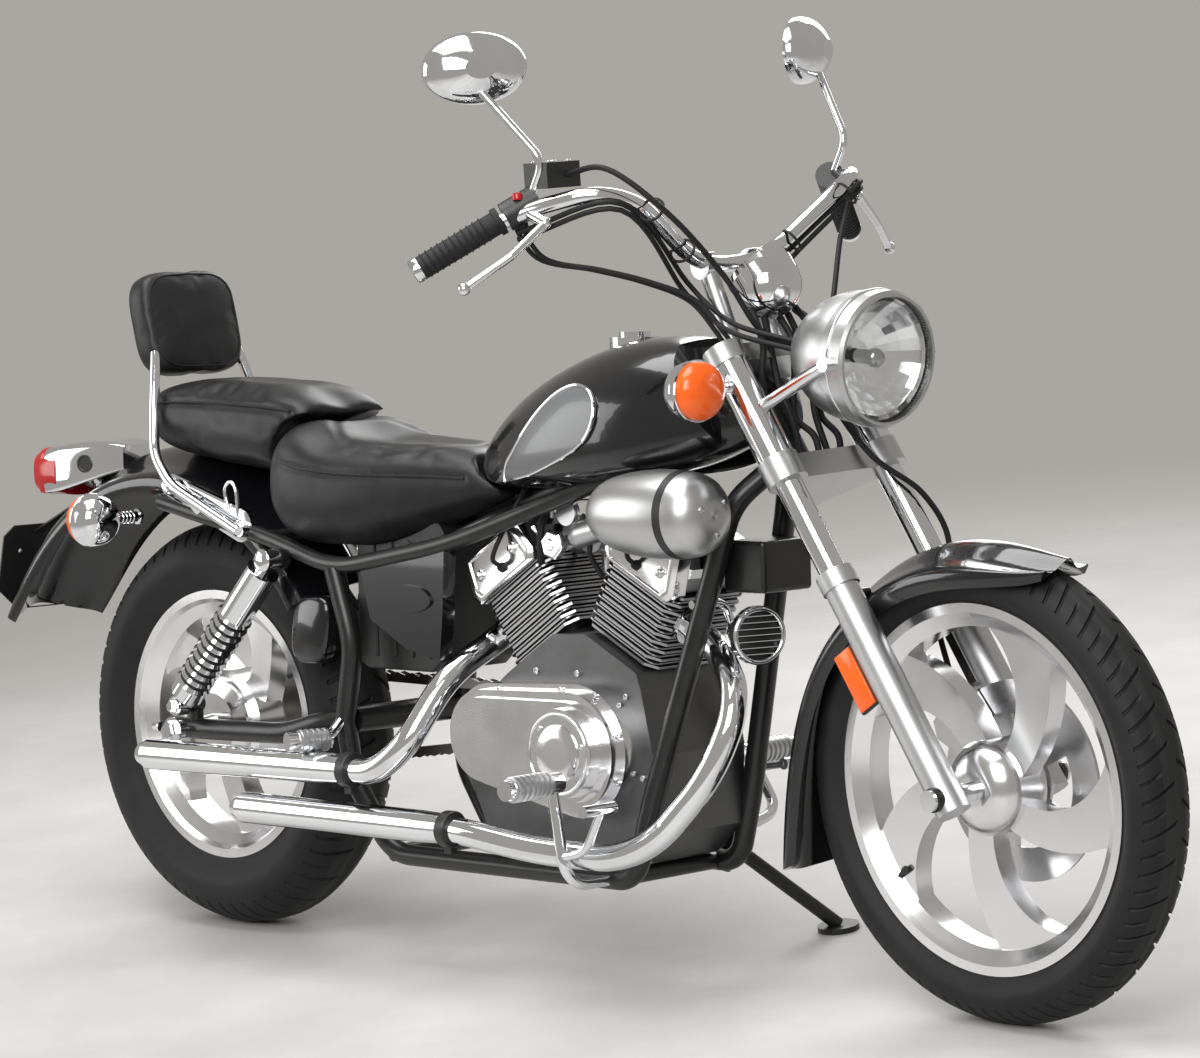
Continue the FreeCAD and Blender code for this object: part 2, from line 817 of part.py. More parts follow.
def clamps():
    top = d.upper_clamp_height + d.upper_clamp_thickness
    stem = rod(fork(0, d.lower_clamp_height, STEM_OFFSET), fork(0, top + d.stem_nut_height, STEM_OFFSET), d.stem_radius)
    parts = [clamp_plate(d.lower_clamp_height, d.lower_clamp_thickness),
             clamp_plate(d.upper_clamp_height, d.upper_clamp_thickness), stem]
    for side in (RIGHT, LEFT):
        foot = fork(side * d.riser_half, top - d.upper_clamp_thickness / 2, STEM_OFFSET * 0.4)
        head = BAR_CENTRE + V(0, side * d.riser_half, 0)
        half = V(0, d.riser_radius, 0)
        parts.append(rod(foot, head, d.riser_radius))
        parts.append(rod(head - half, head + half, d.bar_clamp_radius))
    parts.append(rod(fork(0, top - d.upper_clamp_thickness / 2, STEM_OFFSET * 0.4), DIAL_CENTRE, d.riser_radius * 0.7))
    dial_room = rod(DIAL_CENTRE, DIAL_CENTRE + DIAL_AXIS * d.dial_depth, d.dial_radius)
    piece("triple_clamps", cut(one(parts), SHAPES["handlebar"], SHAPES["speedometer"], dial_room), FRONT)


def front_axle():
    turned("front_axle", [
        ("-leg_spacing - slider_radius - nut_width", "0"),
        ("-leg_spacing - slider_radius - nut_width", "nut_radius"),
        ("-leg_spacing - slider_radius", "nut_radius"),
        ("-leg_spacing - slider_radius", "front_axle_radius"),
        ("-leg_spacing + slider_radius", "front_axle_radius"),
        ("-leg_spacing + slider_radius", "spacer_radius"),
        ("-front_hub_half - seat_clearance", "spacer_radius"),
        ("-front_hub_half - seat_clearance", "front_axle_radius"),
        ("front_hub_half + seat_clearance", "front_axle_radius"),
        ("front_hub_half + seat_clearance", "spacer_radius"),
        ("leg_spacing - slider_radius", "spacer_radius"),
        ("leg_spacing - slider_radius", "front_axle_radius"),
        ("leg_spacing + slider_radius", "front_axle_radius"),
        ("leg_spacing + slider_radius", "nut_radius"),
        ("leg_spacing + slider_radius + nut_width", "nut_radius"),
        ("leg_spacing + slider_radius + nut_width", "0"),
    ], *WHEELS["front"])


# Sheet guards over the wheels
def arch(centre, radial, half, depth, crown):
    """An arched section open towards the wheel: its crown on the radial line, its skirts below."""
    corners = [(1, -depth), (0.97, -depth * 0.5), (0.7, -crown), (0, 0),
               (-0.7, -crown), (-0.97, -depth * 0.5), (-1, -depth)]
    points = [centre + V(0, half * side, 0) + radial * drop for side, drop in corners]
    curve = Part.BSplineCurve()
    curve.interpolate(points)
    return Part.Wire([curve.toShape(), Part.LineSegment(points[-1], points[0]).toShape()])


def along_arc(hub, radius, angle):
    """A crown point and its outward direction on an arc in the bike's middle plane."""
    turn = math.radians(angle)
    radial = V(math.cos(turn), 0, math.sin(turn))
    return hub + radial * radius, radial


def mudguard(hub, radius, half, depth, crown, shares):
    """A curved sheet guard, and the solid that its outer side encloses."""
    outer = []
    inner = []
    for angle, radius_share, half_share, depth_share, crown_share in shares:
        centre, radial = along_arc(hub, radius * radius_share, angle)
        across = half * half_share
        drop = depth * depth_share
        outer.append(arch(centre, radial, across, drop, crown * crown_share))
        inner.append(arch(centre - radial * d.guard_wall, radial, across - d.guard_wall, drop + d.cut_overrun,
                          crown * crown_share))
    envelope = lofted(outer)
    hollow = lofted(inner)
    first = inner[0]
    last = inner[-1]
    step = d.cut_overrun
    tails = []
    for wire, (angle, *_), sign in ((first, shares[0], -1), (last, shares[-1], 1)):
        turn = math.radians(angle)
        along = V(-math.sin(turn), 0, math.cos(turn)) * (sign * step)
        tails.append(Part.Face(wire).extrude(along))
    return cut(envelope, hollow, *tails), envelope


FRONT_GUARD_SHARES = [
    # angle, then radius, half width, side depth and crown as shares of the guard's sizes
    (64, 1.03, 0.60, 0.45, 0.8),
    (72, 1.0, 0.84, 0.7, 1),
    (85, 0.985, 1, 0.9, 1),
    (105, 0.98, 1, 1, 1),
    (130, 0.985, 1, 1, 1),
    (155, 1.01, 1, 1, 1),
    (178, 1.06, 1, 1, 1),
    (192, 1.13, 1, 1, 1),
    (201, 1.2, 0.96, 0.9, 1),
]

REAR_GUARD_SHARES = [
    (33, 1, 1, 1, 1),
    (60, 1, 1, 1, 1),
    (90, 1, 1, 1, 1),
    (120, 1, 1, 1, 1),
    (143, 1.005, 1, 1, 1),
    (156, 1.015, 0.97, 0.85, 1),
]


def front_fender():
    guard, envelope = mudguard(FRONT_AXLE, (d.front_tyre_radius + d.front_guard_gap), d.front_guard_half, d.front_guard_depth,
                               d.front_guard_crown, FRONT_GUARD_SHARES)
    stays = []
    for side in (RIGHT, LEFT):
        for depth_share in (0.42, 0.85):
            along = d.front_tyre_radius + d.front_guard_gap - d.front_guard_depth * depth_share
            foot = fork(side * (d.leg_spacing - d.slider_radius * 0.9), along)
            inner = V(foot.x, side * (d.front_guard_half - d.guard_wall * 6), foot.z)
            stays.append(rod(inner, foot, d.stay_radius))
    piece("front_fender", cut(one([guard] + stays), SHAPES["fork_sliders"]), FRONT)


def headlamp():
    turn = facing(V(math.cos(math.radians(d.lamp_dip)), 0, -math.sin(math.radians(d.lamp_dip))))
    body = new_body("headlamp_shell")
    wall = "lamp_wall"
    turn_about_y(body, [
        ("-lamp_depth", "0"),
        ("-lamp_depth", "lamp_radius * 0.2"),
        ("-lamp_depth * 0.8", "lamp_radius * 0.62", "-lamp_depth * 0.94", "lamp_radius * 0.42"),
        ("-lamp_depth * 0.15", "lamp_radius * 0.97", "-lamp_depth * 0.5", "lamp_radius * 0.88"),
        ("0", "lamp_radius"),
        ("lamp_rim_depth", "lamp_radius"),
        ("lamp_rim_depth + lamp_wall", "lamp_radius - lamp_wall"),
        ("lamp_rim_depth + lamp_wall", "lamp_lens_radius"),
        ("0", "lamp_lens_radius"),
        ("-lamp_depth * 0.15", "lamp_radius * 0.97 - lamp_wall * 2"),
        ("-lamp_depth * 0.8 + lamp_wall", "lamp_radius * 0.62 - lamp_wall", "-lamp_depth * 0.5",
         "lamp_radius * 0.88 - lamp_wall * 1.5"),
        ("-lamp_depth + lamp_wall", "lamp_radius * 0.2", "-lamp_depth * 0.94 + lamp_wall",
         "lamp_radius * 0.42 - lamp_wall / 2"),
        ("-lamp_depth + lamp_wall", "0"),
    ])
    settled(body, FRONT, LAMP_CENTRE, turn)
    turned("headlamp_lens", [
        ("0", "0"),
        ("0", "lamp_lens_radius"),
        ("lamp_rim_depth", "lamp_lens_radius"),
        ("lamp_rim_depth + lamp_lens_bulge", "lamp_lens_radius * 0.1", "lamp_rim_depth + lamp_lens_bulge * 0.75",
         "lamp_lens_radius * 0.5"),
        ("lamp_rim_depth + lamp_lens_bulge", "0"),
    ], FRONT, LAMP_CENTRE, turn)


def indicator(centre, front, root):
    """A round turn signal: a chrome cup on a stalk with its lens facing ahead or back."""
    ahead = V(front, 0, 0)
    cup = cone(centre - ahead * d.signal_depth, centre, d.signal_radius * 0.45, d.signal_radius)
    lens = cone(centre, centre + ahead * (d.signal_depth * 0.5), d.signal_radius, d.signal_radius * 0.7)
    stalk = rod(root, centre - ahead * (d.signal_depth * 0.5), d.signal_stalk_radius)
    return one([cup, lens, stalk])


def front_signals():
    lamps = []
    for side in (RIGHT, LEFT):
        centre = V(FRONT_SIGNAL.x, side * FRONT_SIGNAL.y, FRONT_SIGNAL.z)
        root = V(centre.x - d.signal_depth * 0.5, side * d.leg_spacing, centre.z)
        lamps.append(cut(indicator(centre, 1, root), SHAPES["fork_stanchions"]))
    piece("front_turn_signals", lamps, FRONT)


BAR_SHARES = [
    # forward, out and up from the clamps, as shares of the bar's pull, half width and rise
    (0, 0, 0),
    (0, 0.155, 0),
    (0.227, 0.55, 1),
    (-0.567, 0.75, 0.744),
    (-1, 1, 0.197),
]


def handlebar_points(side=LEFT):
    return [BAR_CENTRE + V(x * d.bar_pull, side * y * d.bar_half, z * d.bar_rise) for x, y, z in BAR_SHARES]


def handlebar():
    left = handlebar_points(LEFT)
    right = handlebar_points(RIGHT)
    points = right[:0:-1] + left[1:]
    piece("handlebar", swept(points, d.bar_radius), FRONT)


def bar_run(side, start_share, end_share):
    """Two points on the straight run of the bar that the grip sits on."""
    points = handlebar_points(side)
    start, end = points[3], points[4]
    return start + (end - start) * start_share, start + (end - start) * end_share


def grips():
    sleeves = []
    for side in (RIGHT, LEFT):
        inner, outer = bar_run(side, 0.1, 1)
        along = (outer - inner).normalize()
        sleeve = rod(inner, outer + along * d.grip_cap, d.grip_radius)
        collar = rod(inner, inner + along * d.grip_cap, d.grip_radius * 1.2)
        sleeves.append(cut(one([sleeve, collar]), SHAPES["handlebar"]))
    piece("hand_grips", sleeves, FRONT)


def bar_controls():
    """Switch housings inboard of the grips, and the brake fluid reservoir on the right."""
    pods = []
    for side in (RIGHT, LEFT):
        outer, inner = bar_run(side, 0.06, -0.3)
        block = rod(inner, outer, d.switch_radius)
        parts = [block]
        if side == RIGHT:
            foot = inner + V(d.reservoir_width * 0.25, 0, d.switch_radius * 0.6)
            box = Part.makeBox(d.reservoir_width, d.reservoir_length, d.reservoir_height,
                               foot - V(d.reservoir_width / 2, d.reservoir_length * 0.2, 0))
            parts.append(box)
        pods.append(cut(one(parts), SHAPES["handlebar"], SHAPES["hand_grips"]))
    piece("bar_controls", pods, FRONT)


def levers():
    """A perch ahead of the switches and a lever with a ball end along each grip."""
    hands = []
    for side in (RIGHT, LEFT):
        inner, outer = bar_run(side, -0.1, 1)
        ahead = V(d.lever_reach, 0, -d.lever_drop)
        pivot = inner + ahead * 0.7
        middle = inner + (outer - inner) * 0.45 + ahead
        tip = inner + (outer - inner) * 0.95 + ahead * 1.1
        perch = rod(inner, pivot, d.lever_radius * 1.4)
        arm = cone(pivot, middle, d.lever_radius * 1.2, d.lever_radius)
        blade = rod(middle, tip, d.lever_radius)
        ball = Part.makeSphere(d.lever_radius * 1.6, tip)
        joint = Part.makeSphere(d.lever_radius * 1.4, pivot)
        elbow = Part.makeSphere(d.lever_radius, middle)
        hand = one([perch, joint, arm, elbow, blade, ball])
        hands.append(cut(hand, SHAPES["handlebar"], SHAPES["bar_controls"]))
    piece("hand_levers", hands, FRONT)


def mirrors():
    """An oval mirror on a cranked stem, on the switch housing."""
    heads = []
    for side in (RIGHT, LEFT):
        foot, _ = bar_run(side, -0.2, 0)
        centre = V(MIRROR.x, side * MIRROR.y, MIRROR.z)
        back = V(math.cos(math.radians(d.mirror_toe)), side * math.sin(math.radians(d.mirror_toe)), 0)
        knee = foot + V(d.mirror_knee, 0, d.mirror_knee * 1.6)
        behind = centre + back * (d.mirror_depth * 0.6)
        stem = swept([foot, knee, behind - V(0, 0, d.mirror_half_height * 0.6), behind], d.mirror_stem_radius, 0.3)
        turn = facing(back)
        wires = []
        for along, share in ((0, 1), (0.3, 0.98), (0.7, 0.72), (1, 0.3)):
            ring = []
            for step in range(12):
                angle = math.radians(step * 30)
                local = V(math.cos(angle) * d.mirror_half_width * share, along * d.mirror_depth,
                          math.sin(angle) * d.mirror_half_height * share)
                ring.append(centre + turn.multVec(local))
            wires.append(smooth_loop(ring))
        head = lofted(wires)
        heads.append(cut(one([head, stem]), SHAPES["handlebar"], SHAPES["bar_controls"], SHAPES["hand_levers"]))
    piece("mirrors", heads, FRONT)


def speedometer():
    turn = facing(DIAL_AXIS, X_AXIS)
    body = new_body("speedometer")
    turn_about_y(body, [
        ("-dial_depth", "0"),
        ("-dial_depth", "dial_radius * 0.25"),
        ("-dial_depth * 0.35", "dial_radius * 0.96", "-dial_depth * 0.8", "dial_radius * 0.68"),
        ("0", "dial_radius"),
        ("dial_rim", "dial_radius"),
        ("dial_rim", "dial_radius * 0.9"),
        ("dial_rim * 0.3", "dial_radius * 0.88"),
        ("dial_rim * 0.3", "0"),
    ])
    settled(body, FRONT, DIAL_CENTRE, turn)


def caliper():
    """A two-piston caliper astride the disc, bolted to the left leg."""
    angle = math.radians(d.caliper_angle)
    radial = V(math.cos(angle), 0, math.sin(angle))
    around = V(-math.sin(angle), 0, math.cos(angle))
    centre = FRONT_AXLE + radial * (d.disc_radius - d.caliper_bite)
    inner_face = d.front_hub_half - d.caliper_inner
    outer_face = d.leg_spacing - d.slider_radius
    corners = [centre + radial * (r * d.caliper_height) + around * (a * d.caliper_length)
               for r, a in ((-0.5, -0.4), (-0.5, 0.4), (0.2, 0.5), (0.5, 0.35), (0.5, -0.35), (0.2, -0.5))]
    body = plate([corner + Y_AXIS * inner_face for corner in corners], outer_face - inner_face, Y_AXIS)
    slot_side = d.front_hub_half - d.disc_gap
    slot = rod(FRONT_AXLE + Y_AXIS * slot_side,
               FRONT_AXLE + Y_AXIS * (slot_side + d.disc_thickness + d.disc_gap * 2), d.disc_radius + d.disc_gap)
    leg = fork(d.leg_spacing, d.caliper_up)
    bracket = rod(V(centre.x, d.leg_spacing - d.slider_radius * 0.5, centre.z), leg, d.caliper_ear_radius)
    bridge = rod(V(centre.x, d.leg_spacing - d.slider_radius * 1.2, centre.z),
                 V(centre.x, d.leg_spacing - d.slider_radius * 0.1, centre.z), d.caliper_ear_radius * 1.1)
    piece("brake_caliper", cut(one([body, bracket, bridge]), slot, SHAPES["fork_sliders"]), FRONT)


# Frame and rear suspension
def frame():
    head_low = d.lower_clamp_height + d.lower_clamp_thickness + d.head_gap
    head_high = d.upper_clamp_height - d.head_gap
    head = rod(fork(0, head_low, STEM_OFFSET), fork(0, head_high, STEM_OFFSET), d.head_tube_radius)
    neck = fork(0, head_low * 0.3 + head_high * 0.7, STEM_OFFSET)
    chin = fork(0, head_low * 0.75 + head_high * 0.25, STEM_OFFSET)
    seat_node = at(0.431, 0, 0.655)
    parts = [head, rod(neck, seat_node, d.backbone_radius)]
    for side in (RIGHT, LEFT):
        cradle = [chin, at(0.730, side * 0.55, 0.665), at(0.647, side * 1.02, 0.25), at(0.627, side * 1.05, 0.15),
                  at(0.300, side * 1.05, 0.15), at(0.252, side * 1.10, 0.25)]
        parts.append(swept(cradle + [PIVOT + V(0, side * d.rail_half, 0)], d.cradle_radius, 0.3))
        upright = [PIVOT + V(0, side * d.rail_half, 0), at(0.262, side * 1.18, 0.45), at(0.238, side * 1.18, 0.560)]
        parts.append(swept(upright, d.cradle_radius, 0.3))
        rail = [neck + (seat_node - neck) * 0.12, at(0.535, side * 0.98, 0.667), at(0.404, side * 1.16, 0.603),
                at(0.24, side * 1.18, 0.560),
                CROSSBAR + V(0, side * d.body_half_width * 1.05, 0), at(-0.035, side * 1.01, 0.648)]
        parts.append(swept(rail, d.rail_radius, 0.35))
        parts.append(rod(seat_node, at(0.404, side * 1.14, 0.605), d.rail_radius))
        shock_seat = V(SHOCK_TOP.x, 0, SHOCK_TOP.z)
        parts.append(rod(shock_seat + V(0, side * d.rail_half * 0.95, 0),
                         shock_seat + V(0, side * (d.shock_half - d.shock_eye_width / 2), 0), d.shock_eye_radius))
    parts.append(rod(PIVOT - V(0, d.rail_half, 0), PIVOT + V(0, d.rail_half, 0), d.pivot_shaft_radius))
    for place in (at(0.60, 0, 0.15), at(0.30, 0, 0.15), CROSSBAR):
        half = V(0, d.body_half_width * 1.05, 0)
        parts.append(rod(place - half, place + half, d.rail_radius))
    bolt = STAND_PIVOT + STAND_AXIS * (d.stand_eye_half + d.seat_clearance)
    lug = STAND_PIVOT - STAND_AXIS * (d.stand_eye_half + d.seat_clearance)
    parts.append(rod(lug - STAND_AXIS * (d.stand_eye_half * 1.9), lug, d.stand_eye_radius * 0.9))
    parts.append(rod(lug, bolt, d.stand_bolt_radius))
    parts.append(rod(bolt, bolt + STAND_AXIS * (d.stand_eye_half * 0.6), d.stand_eye_radius * 0.75))
    whole = one(parts)
    stem_bore = rod(fork(0, head_low - d.cut_overrun, STEM_OFFSET), fork(0, head_high + d.cut_overrun, STEM_OFFSET),
                    d.stem_radius + d.running_clearance)
    piece("frame", cut(whole, stem_bore), BIKE)


def swingarm():
    tube = rod(PIVOT - V(0, d.rail_half - d.cradle_radius - d.head_gap, 0),
               PIVOT + V(0, d.rail_half - d.cradle_radius - d.head_gap, 0), d.arm_radius * 1.2)
    parts = [tube]
    for side in (RIGHT, LEFT):
        y = side * d.arm_half
        arm = [PIVOT + V(0, side * d.arm_half * 0.72, 0), at(0.205, side * 1.03, 0.333),
               V(fore(0.15), y, REAR_AXLE.z * 0.85 + PIVOT.z * 0.15), V(-d.arm_radius * 1.4, y, REAR_AXLE.z)]
        parts.append(swept(arm, d.arm_radius, 0.35))
        lug = V(SHOCK_FOOT.x, 0, SHOCK_FOOT.z)
        parts.append(rod(lug + V(0, y * 0.92, 0), lug + V(0, side * (d.shock_half - d.shock_eye_width / 2), 0),
                         d.shock_eye_radius * 0.8))
        parts.append(rod(V(lug.x, y, REAR_AXLE.z), V(lug.x, y, lug.z), d.shock_eye_radius * 0.7))
    whole = one(parts)
    shaft = rod(PIVOT - V(0, d.rail_half * 2, 0), PIVOT + V(0, d.rail_half * 2, 0), d.pivot_shaft_radius)
    axle_hole = rod(REAR_AXLE - V(0, d.arm_half * 2, 0), REAR_AXLE + V(0, d.arm_half * 2, 0), d.rear_axle_radius)
    piece("swingarm", cut(whole, shaft, axle_hole, SHAPES["frame"]), BIKE)


def shocks():
    """A damper between two eyes, with its spring's turns as rings round it."""
    units = []
    for side in (RIGHT, LEFT):
        top = V(SHOCK_TOP.x, side * d.shock_half, SHOCK_TOP.z)
        foot = V(SHOCK_FOOT.x, side * d.shock_half, SHOCK_FOOT.z)
        along = (top - foot).normalize()
        length = (top - foot).Length
        half = V(0, d.shock_eye_width / 2, 0)
        parts = [rod(top - half, top + half, d.shock_eye_radius), rod(foot - half, foot + half, d.shock_eye_radius),
                 rod(foot, top, d.shock_rod_radius),
                 rod(foot + along * (length * 0.08), foot + along * (length * 0.16), d.shock_can_radius),
                 rod(foot + along * (length * 0.62), foot + along * (length * 0.93), d.shock_can_radius)]
        start = foot + along * (length * 0.14)
        pitch = length * 0.5 / d.spring_rings
        for ring in range(int(d.spring_rings)):
            low = start + along * (ring * pitch)
            middle = low + along * (pitch / 2)
            parts.append(cone(low, middle, d.spring_root_radius, d.spring_radius))
            parts.append(cone(middle, middle + along * (pitch / 2), d.spring_radius, d.spring_root_radius))
        units.append(one(parts))
    piece("rear_shocks", units, BIKE)


def brake_panel():
    """The drum's fixed right cover with its brake arm."""
    body = new_body("rear_brake_panel")
    inner = "-rear_hub_half - seat_clearance"
    outer = f"{inner} - drum_panel_depth"
    turn_about_y(body, [
        (inner, "rear_axle_radius"),
        (inner, "drum_panel_radius"),
        (f"{inner} - drum_panel_depth * 0.5", "drum_panel_radius"),
        (outer, "drum_panel_radius * 0.7"),
        (outer, "spacer_radius * 1.3"),
        ("-arm_half + arm_radius", "spacer_radius"),
        ("-arm_half + arm_radius", "rear_axle_radius"),
    ])
    settled(body, *WHEELS["rear"])


# Engine
def bank(angle):
    """A cylinder's own directions: up along the bore and across it."""
    turn = math.radians(angle + d.vee_tilt)
    return V(math.sin(turn), 0, math.cos(turn)), V(math.cos(turn), 0, -math.sin(turn))


def bank_block(angle, start, length, half_along, half_side, corner):
    """A block round a cylinder's axis with its four long corners cut off."""
    up, ahead = bank(angle)
    centre = CRANK + up * start
    along = half_along - corner
    beside = half_side - corner
    corners = [(along, -half_side), (half_along, -beside), (half_along, beside), (along, half_side),
               (-along, half_side), (-half_along, beside), (-half_along, -beside), (-along, -half_side)]
    points = [centre + ahead * x + Y_AXIS * y for x, y in corners]
    return plate(points, length, up)


def cylinder(angle):
    """A barrel and head with their cooling fins."""
    up, ahead = bank(angle)
    start = CRANK + up * d.barrel_start
    fins_end = d.barrel_start + d.fin_pitch * d.fin_count
    core = rod(start, CRANK + up * (fins_end + d.head_height), d.barrel_core)
    parts = [core]
    for index in range(int(d.fin_count)):
        foot = d.barrel_start + d.fin_pitch * (index + 0.5)
        parts.append(bank_block(angle, foot, d.fin_thickness, d.fin_width, d.fin_depth, d.fin_corner))
    parts.append(bank_block(angle, fins_end, d.head_height, d.fin_width * 0.86, d.fin_depth * 0.9, d.fin_corner))
    return one(parts)


def cylinders():
    piece("cylinders", [cylinder(d.vee_half_angle), cylinder(-d.vee_half_angle)], BIKE)


def head_covers():
    """Chrome covers on the heads, with a step down to their flanges."""
    covers = []
    start = d.barrel_start + d.fin_pitch * d.fin_count + d.head_height
    for angle in (d.vee_half_angle, -d.vee_half_angle):
        flange = bank_block(angle, start, d.head_cover_height * 0.35, d.fin_width * 0.95, d.fin_depth * 0.98,
                            d.fin_corner)
        top = bank_block(angle, start, d.head_cover_height, d.fin_width * 0.72, d.fin_depth * 0.86, d.fin_corner)
        covers.append(one([flange, top]))
    piece("cylinder_head_covers", covers, BIKE)


CASE_SHARES = [
    # forward and up from the crank, as shares of the case's length and height
    (-0.56, 0.10), (-0.58, -0.22), (-0.46, -0.80), (-0.10, -1.0), (0.24, -1.0), (0.36, -0.75), (0.38, -0.1), (0.33, 0.42),
]


def crankcase():
    """Two banks' decks over a rounded case."""
    front_up, front_ahead = bank(d.vee_half_angle)
    rear_up, rear_ahead = bank(-d.vee_half_angle)
    deck = d.barrel_start
    half = d.fin_width * 0.9
    points = [CRANK + V(x * d.case_length, 0, z * d.case_drop) for x, z in CASE_SHARES]
    points.append(CRANK + front_up * deck + front_ahead * half)
    points.append(CRANK + front_up * deck - front_ahead * half * 0.7)
    points.append(CRANK + rear_up * deck + rear_ahead * half * 0.7)
    points.append(CRANK + rear_up * deck - rear_ahead * half)
    block = plate([point - Y_AXIS * d.case_half for point in points], d.case_half * 2, Y_AXIS)
    inner = d.chain_side - d.chain_half_width - d.pocket_gap / 2
    pocket = chain_band(d.chain_band + d.pocket_gap, inner, d.case_half + d.cut_overrun)
    wheel = rod(SPROCKET_COVER + V(0, inner, 0), SPROCKET_COVER + V(0, d.case_half, 0),
                d.front_sprocket_radius - d.chain_band - d.seat_clearance)
    piece("crankcase", one([cut(block, SHAPES["frame"], pocket), wheel]), BIKE)


def cover_outline(centres, side, start, depth):
    """A flat cover round two circles, with straight flanks between them."""
    (near, near_radius), (far, far_radius) = centres
    length = (far - near).Length
    along = (far - near).normalize()
    across = Y_AXIS.cross(along)
    lean = math.acos((near_radius - far_radius) / length)
    directions = [along * math.cos(lean) + across * (math.sin(lean) * sign) for sign in (1, -1)]
    base = V(0, start, 0)
    corners = [near + directions[0] * near_radius, far + directions[0] * far_radius,
               far + directions[1] * far_radius, near + directions[1] * near_radius]
    web = plate([corner + base for corner in corners], abs(depth), Y_AXIS * side)
    rounds = [rod(near + base, near + V(0, start + depth, 0), near_radius),
              rod(far + base, far + V(0, start + depth, 0), far_radius)]
    return one([web] + rounds)


def side_covers_of_engine():
    """The clutch cover on the right, the generator and sprocket covers on the left."""
    near = CRANK + V(d.clutch_ahead, 0, -d.clutch_drop)
    far = CRANK - V(d.clutch_back, 0, 0)
    side = -d.case_half
    steps = [(0, 1, 0.55), (0.55, 0.9, 0.3), (0.85, 0.76, 0.15)]
    parts = []
    for start, share, depth in steps:
        parts.append(cover_outline([(near, d.clutch_radius * share), (far, d.clutch_small_radius * share)], RIGHT,
                                   side - d.clutch_depth * start, -d.clutch_depth * depth))
    parts.append(rod(near + V(0, side, 0), near + V(0, side - d.clutch_depth - d.clutch_cap_height, 0),
                     d.clutch_cap_radius))
    right = one(parts)
    left = one([
        rod(CRANK + V(0, d.case_half, 0), CRANK + V(0, d.case_half + d.generator_depth, 0), d.generator_radius),
        rod(CRANK + V(0, d.case_half, 0), CRANK + V(0, d.case_half + d.generator_depth * 1.2, 0),
            d.generator_radius * 0.6),
        rod(SPROCKET_COVER + V(0, d.case_half, 0), SPROCKET_COVER + V(0, d.case_half + d.generator_depth * 0.7, 0),
            d.generator_radius * 0.8),
    ])
    piece("engine_side_covers", [cut(right, SHAPES["frame"]), cut(left, SHAPES["frame"])], BIKE)


def carburettor():
    """The throttle body between the banks, with manifolds down to both heads and a stub to the filter."""
    centre = at(0.545, 0, 0.615)
    body = rod(centre - V(0, d.carb_half, 0), centre + V(0, d.carb_half, 0), d.carb_radius)
    bowl = rod(centre - V(0, 0, d.carb_radius * 2.2), centre, d.carb_radius * 0.8)
    top = rod(centre, centre + V(0, 0, d.carb_radius * 1.6), d.carb_radius * 0.7)
    start = d.barrel_start + d.fin_pitch * d.fin_count + d.head_height * 0.5
    runs = []
    for angle, sign in ((d.vee_half_angle, -1), (-d.vee_half_angle, 1)):
        up, ahead = bank(angle)
        port = CRANK + up * start + ahead * (sign * d.fin_width * 0.7)
        runs.append(rod(centre - V(0, 0, d.carb_radius * 0.5), port, d.carb_radius * 0.6))
    stub = swept([centre - V(0, d.carb_half * 0.5, 0), centre - V(0, d.carb_half * 1.6, 0),
                  FILTER_CENTRE + V(-d.filter_length * 0.1, d.filter_radius * 0.5, 0)],
                 d.carb_radius * 0.7, 0.4)
    whole = one([body, bowl, top, stub] + runs)
    piece("carburettor", cut(whole, SHAPES["frame"], SHAPES["cylinders"], SHAPES["cylinder_head_covers"],
                             SHAPES["crankcase"], SHAPES["air_cleaner"]), BIKE)


def air_cleaner():
    """A bullet-shaped filter housing with a band round it, blunt end ahead."""
    profile = [(-0.5, 0.0), (-0.49, 0.28), (-0.42, 0.6), (-0.25, 0.86), (-0.02, 0.98), (0.12, 1.0), (0.28, 0.97),
               (0.42, 0.84), (0.485, 0.6), (0.5, 0.0)]
    points = [FILTER_CENTRE + V(along * d.filter_length, 0, share * d.filter_radius) for along, share in profile]
    curve = Part.BSplineCurve()
    curve.interpolate(points)
    line = Part.LineSegment(points[-1], points[0])
    face = Part.Face(Part.Wire([curve.toShape(), line.toShape()]))
    shape = face.revolve(FILTER_CENTRE, X_AXIS, 360)
    piece("air_cleaner", cut(shape, SHAPES["frame"]), BIKE)


def exhaust(points, start, end):
    """A header pipe into a straight muffler with a tapered neck and a narrowed outlet."""
    pipe = swept(points, d.pipe_radius, 0.45)
    along = (end - start).normalize()
    shoulder = start + along * d.muffler_taper
    outlet = end + along * (d.muffler_taper * 0.3)
    neck = cone(start, shoulder, d.pipe_radius * 1.12, d.muffler_radius)
    can = rod(shoulder, end, d.muffler_radius)
    tail = cone(end, outlet, d.muffler_radius, d.muffler_radius * 0.7)
    bore = rod(end - along * d.muffler_bore, outlet + along * d.cut_overrun, d.muffler_radius * 0.45)
    return cut(one([pipe, neck, can, tail]), bore)


def exhaust_port(angle, sign):
    """Where a pipe leaves a head's fins, on its front or its rear side, and the way it points."""
    up, ahead = bank(angle)
    port = CRANK + up * d.port_height + ahead * (sign * d.fin_width) - Y_AXIS * d.port_side
    return port, ahead * sign


